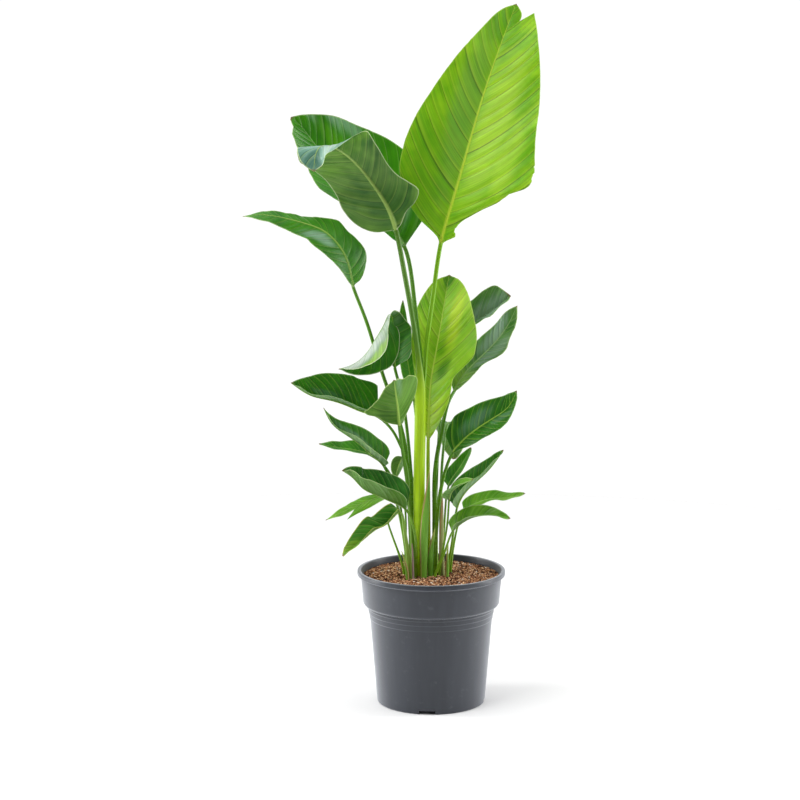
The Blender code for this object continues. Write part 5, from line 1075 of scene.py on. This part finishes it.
         stalk=[(1.6, 4.0, 32.5), (2.0, 5.5, 40.5)],
         rib=[(2.7, 7.5, 44.4), (3.4, 11.0, 43.6), (3.8, 14.0, 40.6), (3.9, 15.2, 37.2)],
         faces=(0.0, 0.3, 0.95), lift=[15, 10], wave=0.12),
]

# Sheaths. Size is the radius of the wrap and half_turn the degrees that it reaches round on each side, both
# with the share of the sheath's length that they belong to

SHEATHS = [
    dict(name="sheath_tall", colour="sheath_pale", base=(-1.25, -2.1),
         line=[(-1.27, -2.12, 25.0), (-1.22, -2.15, 28.5), (-0.95, -2.1, 33.5), (-0.45, -1.9, 39.3)],
         size=[(0, 0.54), (0.18, 0.54), (0.32, 0.66), (0.5, 0.74), (0.65, 0.68), (0.85, 0.44), (1, 0.2)],
         half_turn=[(0, 150), (0.6, 125), (1, 70)],
         faces=(-0.95, 0.3, 0.0)),
    dict(name="sheath_green", colour="sheath_pale", base=(-0.2, -1.2),
         line=[(-0.15, -1.4, 25.0), (0.45, -1.6, 29.1)],
         size=[(0, 0.50), (0.3, 0.50), (0.55, 0.58), (0.85, 0.38), (1, 0.2)],
         half_turn=[(0, 150), (0.6, 120), (1, 70)],
         faces=(-0.8, 0.5, 0.0)),
    dict(name="sheath_tan", colour="sheath_dry", base=(1.75, -0.4),
         line=[(1.65, -0.45, 25.0), (1.65, -0.5, 29.5), (1.65, -0.4, 34.0)],
         size=[(0, 0.46), (0.5, 0.44), (0.8, 0.32), (1, 0.2)],
         half_turn=[(0, 150), (0.6, 110), (1, 60)],
         faces=(-0.6, 0.6, 0.0)),
    dict(name="sheath_left", colour="sheath_pale", base=(-3.85, -3.1),
         line=[(-4.15, -3.1, 23.4), (-4.7, -3.0, 25.6)],
         size=[(0, 0.33), (0.6, 0.30), (1, 0.18)],
         half_turn=[(0, 145), (0.6, 120), (1, 70)],
         faces=(0.9, 0.4, 0.0)),
    dict(name="sheath_right", colour="sheath_pale", base=(2.5, -1.2),
         line=[(2.5, -1.3, 24.0), (2.6, -1.4, 26.3)],
         size=[(0, 0.38), (0.6, 0.34), (1, 0.2)],
         half_turn=[(0, 145), (0.6, 115), (1, 70)],
         faces=(-0.8, 0.5, 0.0)),
    dict(name="sheath_dry", colour="sheath_purple", base=(-2.95, -2.95),
         line=[(-3.0, -3.0, 24.0), (-3.1, -3.1, 26.9)],
         size=[(0, 0.20), (0.6, 0.20), (1, 0.18)],
         half_turn=[(0, 120), (0.6, 90), (1, 60)],
         faces=(0.4, 0.9, 0.0)),
]


def build_sheath(index, sheath, mats):
    """An old leaf base: it wraps round, thins toward its edges and ends in a torn, slanting tip."""
    x, y = sheath["base"]
    path = Path([(x, y, STANDING)], [(x, y, VERTICAL)] + list(sheath["line"]), sheath["faces"], 0.0)
    torn = Noise(SEED * 10 + index)
    start = between(sheath["size"], 0)
    verts, places = [], []
    for u in np.linspace(0, 1, SHEATH_ROWS):
        middle, t, side, n = path.at(u * path.end)
        big = between(sheath["size"], u)
        half_turn = between(sheath["half_turn"], u) * (1 + 0.05 * torn.at(u * 9))
        taper = 1 - max(0.0, (u - 0.86) / 0.14) ** 2 * 0.75
        ring, place = wrap_ring(SHEATH_COLUMNS, half_turn * taper, big)
        ring[:, 1] += big - (start + (big - start) * min(1.0, u / 0.3))
        place[:, 0] = (u - 1) * path.end * CM
        verts.append((middle + ring[:, :1] * side + ring[:, 1:2] * n + ring[:, 2:] * t) * CM)
        places.append(place)
    name = sheath["name"] + "_grown"
    mesh = new_mesh(name, np.concatenate(verts), quads_over(SHEATH_ROWS, 4 * SHEATH_COLUMNS + 2))
    piece = make_piece(name, mesh, mats[sheath["colour"]], sheath["name"])
    keep_values(piece, place=np.concatenate(places))


# Pot


def outer_radius(z):
    """Body radius below the step, with shallow rings that each stand a little further out."""
    r = FOOT_RADIUS + TAPER * z
    for ring in RINGS:
        r += RING_RELIEF * min(max((z - ring) / RING_SLOPE, 0.0), 1.0)
    return r


def pot_profile():
    """The wall's section, from the underside's middle round and back: (radius, height, corner's reach)."""
    points = [
        (0.0, 0.0, 0),
        (PAD_RADIUS, 0.0, 0.0006),
        (PAD_RADIUS + 0.0012, FLOOR_HEIGHT, 0.0008),
        (FLOOR_EDGE, FLOOR_HEIGHT, 0.0008),
        (FOOT_INSIDE, 0.0, 0.0006),
        (FOOT_RADIUS - 0.0016, 0.0, 0.0012),
        (outer_radius(0.0012), 0.0012, 0.0012),
    ]
    points += [(outer_radius(z), z, 0) for z in PLAIN_WALL]
    for ring in RINGS:
        above = ring + RING_SLOPE
        points += [(outer_radius(ring), ring, 0.0005), (outer_radius(above), above, 0.0005)]
    points += [
        (outer_radius(STEP_HEIGHT - 0.0006), STEP_HEIGHT - 0.0006, 0.0012),
        (STEP_LIP, STEP_HEIGHT, 0.0009),
        (COLLAR_FOOT_RADIUS, STEP_HEIGHT + 0.0030, 0.0022),
        (COLLAR_BULGE, STEP_HEIGHT + 0.026, 0.004),
        (COLLAR_RADIUS, COLLAR_TOP, 0.002),
        (RIM_NECK, 0.2087, 0.0008),
        (RIM_RADIUS - 0.0006, POT_HEIGHT - 0.0060, 0.0012),
        (RIM_RADIUS, 0.2112, 0.0010),
        (RIM_RADIUS - 0.0002, POT_HEIGHT, 0.0018),
        (RIM_INSIDE, POT_HEIGHT, 0.0018),
        (0.1130, POT_HEIGHT - 0.0060, 0.0020),
        (COLLAR_RADIUS - WALL, COLLAR_TOP, 0.002),
        (COLLAR_FOOT_RADIUS - WALL, STEP_HEIGHT + 0.0060, 0.002),
        (STEP_INSIDE, STEP_HEIGHT + WALL, 0.001),
        (outer_radius(STEP_HEIGHT) - WALL, STEP_HEIGHT, 0.001),
        (outer_radius(0.118) - WALL, 0.118, 0.004),
        (outer_radius(0.06) - WALL, 0.06, 0),
        (FOOT_RADIUS + TAPER * (FLOOR_HEIGHT + WALL) - WALL, FLOOR_HEIGHT + WALL, 0.002),
        (PAD_RADIUS - 0.0006, FLOOR_HEIGHT + WALL, 0.0008),
        (PAD_RADIUS - WALL, WALL, 0.0008),
        (0.0, WALL, 0),
    ]
    return points


def rounded(points, steps=4):
    """The profile with each corner turned into a short curve of the given reach."""
    line = []
    for i, (r, z, reach) in enumerate(points):
        here = np.array([r, z])
        if not reach:
            line.append(here)
            continue
        into = np.array(points[i - 1][:2]) - here
        onto = np.array(points[i + 1][:2]) - here
        a = here + into * min(reach / np.linalg.norm(into), 0.45)
        b = here + onto * min(reach / np.linalg.norm(onto), 0.45)
        for q in np.linspace(0, 1, steps + 1):
            line.append(a * (1 - q) ** 2 + here * 2 * q * (1 - q) + b * q ** 2)
    return line


def turned(profile, sides):
    """Turn a profile that starts and ends on the axis round +Z."""
    verts, faces, rings = [], [], []
    for r, z in profile:
        count = 1 if r < 1e-9 else sides
        rings.append(range(len(verts), len(verts) + count))
        for i in range(count):
            a = 2 * math.pi * i / sides
            verts.append((r * math.cos(a), r * math.sin(a), z))
    for lower, upper in zip(rings[:-1], rings[1:]):
        for i in range(sides):
            j = (i + 1) % sides
            if len(lower) == 1:
                faces.append((lower[0], upper[j], upper[i]))
            elif len(upper) == 1:
                faces.append((lower[i], lower[j], upper[0]))
            else:
                faces.append((lower[i], lower[j], upper[j], upper[i]))
    return verts, faces


def prism(name, corners, low, high):
    """Upright cutter over corners that run anticlockwise."""
    count = len(corners)
    verts = [(x, y, z) for z in (low, high) for x, y in corners]
    faces = [tuple(range(count - 1, -1, -1)), tuple(range(count, 2 * count))]
    faces += [(i, (i + 1) % count, count + (i + 1) % count, count + i) for i in range(count)]
    return bpy.data.objects.new(name, new_mesh(name, verts, faces))


def build_pot(mat):
    """The moulded pot: one turned shell, less the notches in its foot and the drain holes in its floor."""
    verts, faces = turned(rounded(pot_profile()), POT_SIDES)
    blank = put("pot_blank", new_mesh("pot_blank", verts, faces))
    made = []
    for i in range(NOTCHES):
        a = NOTCH_TURN + 2 * math.pi * i / NOTCHES - math.pi / 2
        out = np.array([math.cos(a), math.sin(a)])
        along = np.array([-math.sin(a), math.cos(a)]) * NOTCH_WIDTH / 2
        near, far = out * (FOOT_RADIUS - 0.012), out * (FOOT_RADIUS + 0.012)
        corners = [near - along, far - along, far + along, near + along]
        made.append(prism("notch_%d" % i, corners, -CUT_PAST, NOTCH_HEIGHT))
    for i in range(DRAIN_HOLES):
        a = NOTCH_TURN + 2 * math.pi * (i + 0.5) / DRAIN_HOLES
        turns = [2 * math.pi * step / DRAIN_SIDES for step in range(DRAIN_SIDES)]
        corners = [(DRAIN_CIRCLE * math.cos(a) + DRAIN_RADIUS * math.cos(b),
                    DRAIN_CIRCLE * math.sin(a) + DRAIN_RADIUS * math.sin(b)) for b in turns]
        made.append(prism("drain_%d" % i, corners, FLOOR_HEIGHT - CUT_PAST, FLOOR_HEIGHT + WALL + CUT_PAST))
    cutters = bpy.data.collections.new("pot_cutters")
    bpy.context.scene.collection.children.link(cutters)
    for cutter in made:
        cutters.objects.link(cutter)
    cut = blank.modifiers.new("cuts", "BOOLEAN")
    cut.operation = "DIFFERENCE"
    cut.operand_type = "COLLECTION"
    cut.collection = cutters
    cut.solver = "EXACT"
    bpy.context.view_layer.update()
    done = bpy.data.meshes.new_from_object(blank.evaluated_get(bpy.context.evaluated_depsgraph_get()))
    for thing in made + [blank]:
        bpy.data.objects.remove(thing, do_unlink=True)
    bpy.data.collections.remove(cutters)
    done.materials.clear()
    make_piece("pot_moulding", done, mat, "pot", sharp=38)


# Soil


def soil_height(x, y):
    """Top of the soil: small heaps, a slight mound in the middle and a dip along the wall."""
    r = np.hypot(x, y)
    heaps = np.sin(310 * x + 1.3) * np.cos(270 * y + 0.4)
    heaps = heaps + 0.7 * np.sin(190 * x - 240 * y + 2.1) + 0.5 * np.cos(520 * x + 430 * y)
    fade = np.clip((SOIL_SIDE - r) / EDGE_DIP, 0.0, 1.0)
    mound = MOUND_HEIGHT * np.exp(-(r / MOUND_REACH) ** 2)
    return SOIL_TOP + SOIL_RELIEF * 0.45 * heaps * fade + mound


def build_chips(mat):
    """Loose bits of bark over the soil: uneven blocks, most lying flat, kept clear of the stems."""
    draw = np.random.default_rng(SEED)
    stems = [(leaf["base"], leaf["radius"]) for leaf in LEAVES if leaf["name"] != "leaf_crown"]
    stems += [(sheath["base"], sheath["size"][0][1]) for sheath in SHEATHS]
    stems.append(MAIN_STEM)
    corners = np.array([(-1, -1, -1), (1, -1, -1), (1, 1, -1), (-1, 1, -1), (-1, -1, 1), (1, -1, 1),
                        (1, 1, 1), (-1, 1, 1)]) / 2
    quads = [(0, 3, 2, 1), (4, 5, 6, 7), (0, 1, 5, 4), (1, 2, 6, 5), (2, 3, 7, 6), (3, 0, 4, 7)]
    verts, faces, tones = [], [], []
    while len(tones) < CHIPS * 8:
        r = SOIL_EDGE * math.sqrt(draw.uniform())
        a = draw.uniform(0, 2 * math.pi)
        x, y = r * math.cos(a), r * math.sin(a)
        size = np.array([draw.uniform(*span) for span in (CHIP_LENGTH, CHIP_WIDTH, CHIP_THICKNESS)]) * 0.001
        reach = size[0] * 0.4
        if r + reach > SOIL_EDGE:
            continue
        if any(math.hypot(x - sx * CM, y - sy * CM) < sr * CM + reach * 0.6 for (sx, sy), sr in stems):
            continue
        block = corners * size * (1 + draw.uniform(-CHIP_UNEVEN, CHIP_UNEVEN, (8, 3)))
        turn = draw.uniform(0, 2 * math.pi)
        tip = draw.normal(0, CHIP_TILT)
        roll = draw.normal(0, CHIP_TILT)
        ct, st = math.cos(turn), math.sin(turn)
        cp, sp = math.cos(tip), math.sin(tip)
        cr, sr = math.cos(roll), math.sin(roll)
        spin = np.array([[ct, -st, 0], [st, ct, 0], [0, 0, 1]])
        pitch = np.array([[cp, 0, sp], [0, 1, 0], [-sp, 0, cp]])
        bank = np.array([[1, 0, 0], [0, cr, -sr], [0, sr, cr]])
        block = block @ (spin @ pitch @ bank).T
        z = float(soil_height(x, y)) + draw.uniform(*CHIP_LIFT)
        start = len(verts) * 8
        verts.append(block + (x, y, z))
        faces += [tuple(start + i for i in q) for q in quads]
        tones += [draw.uniform()] * 8
    mesh = new_mesh("bark_chips", np.concatenate(verts), faces)
    keep_values(make_piece("bark_chips", mesh, mat, sharp=30), tone=tones)


# Build

surfaces = {name: waxed_leaf("waxed_leaf_" + name, look) for name, look in LOOKS.items()}
for index, leaf in enumerate(LEAVES):
    build_leaf(index, leaf, surfaces)
sheath_surfaces = {
    "sheath_pale": dried_sheath("sheath_pale", "6CA62C", "B08A60", "9CBC44"),
    "sheath_dry": dried_sheath("sheath_tan", "98A060", "B08458", "C49C6C"),
    "sheath_purple": dried_sheath("sheath_purple", "8A7070", "A89488", "9C8070"),
}
for index, sheath in enumerate(SHEATHS):
    build_sheath(index, sheath, sheath_surfaces)
build_pot(moulded_polypropylene())
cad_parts["soil"].material_slots[0].material = bark_mix("bark_soil_bed", False)
build_chips(bark_mix("bark_chips", True))

# Studio: a round sheet of white paper that runs into bright white surroundings, a large soft lamp in front
# on each side, and a tall strip lamp level with the plant on each side for its rim light

FLOOR_RADIUS = 1.75
FLOOR_SIDES = 96
floor_turns = [2 * math.pi * i / FLOOR_SIDES for i in range(FLOOR_SIDES)]
floor_edge = [(FLOOR_RADIUS * math.cos(a), FLOOR_RADIUS * math.sin(a), 0) for a in floor_turns]
floor = put("floor", new_mesh("floor", floor_edge, [tuple(range(FLOOR_SIDES))]))
floor.data.materials.append(studio_paper())

# Each lamp's name, place, the point that it faces, its size in metres and its power in watts
SOFTBOXES = (
    ("key", (-1.5, -1.3, 2.5), (0, 0, 0.6), (1.6, 1.6), 42),
    ("fill", (2.0, -0.6, 1.3), (0, 0, 0.4), (1.0, 2.0), 8),
    ("left_strip", (-1.9, 0.15, 0.7), (0, 0, 0.6), (0.5, 2.2), 34),
    ("right_strip", (1.9, 0.15, 0.7), (0, 0, 0.6), (0.5, 2.2), 30),
)
for name, place, target, size, watts in SOFTBOXES:
    light = bpy.data.lights.new(name, "AREA")
    light.shape = "RECTANGLE"
    light.size, light.size_y = size
    light.energy = watts
    lamp = put(name, light)
    lamp.location = place
    dx, dy, dz = np.array(target) - np.array(place)
    lamp.rotation_euler = (math.atan2(math.hypot(dx, dy), -dz), 0, math.atan2(dy, dx) - math.pi / 2)

# The surroundings are dim behind the camera and bright at the sides, behind the plant and overhead
studio = bpy.data.worlds.new("studio")
bpy.context.scene.world = studio
studio.use_nodes = True
sky = studio.node_tree
sky.nodes.clear()
direction = add(sky, "TexCoord")
split = add(sky, "SeparateXYZ", inputs={"Vector": (direction, "Generated")})
behind = add(sky, "MapRange", SMOOTH,
             {"Value": (split, "Y"), "From Min": -0.9, "From Max": 0.3, "To Min": 0.12, "To Max": 0.95})
overhead = add(sky, "MapRange", SMOOTH,
               {"Value": (split, "Z"), "From Min": 0.2, "From Max": 0.9, "To Min": 0.0, "To Max": 0.40})
around = add(sky, "Math", PLUS, {0: behind, 1: overhead})
seen = add(sky, "LightPath")
strength = add(sky, "Mix", {"data_type": "FLOAT"}, {0: (seen, "Is Camera Ray"), 2: around, 3: 1.05})
surround = add(sky, "Background", inputs={"Color": (1, 1, 1, 1), "Strength": strength})
add(sky, "OutputWorld", inputs={"Surface": surround})

# Camera: fitted to the pot's rim, step and foot in the photograph

CAMERA_PLACE = (-0.0507, -3.60, 1.06)
CAMERA_PITCH = 8.9
CAMERA_LENS = 102.24
view_data = bpy.data.cameras.new("camera")
view_data.lens = CAMERA_LENS
view_data.sensor_width = 36.0
camera = put("camera", view_data)
camera.location = CAMERA_PLACE
camera.rotation_euler = (math.radians(90 - CAMERA_PITCH), 0, 0)
bpy.context.scene.camera = camera
bpy.context.scene.view_settings.view_transform = "Standard"
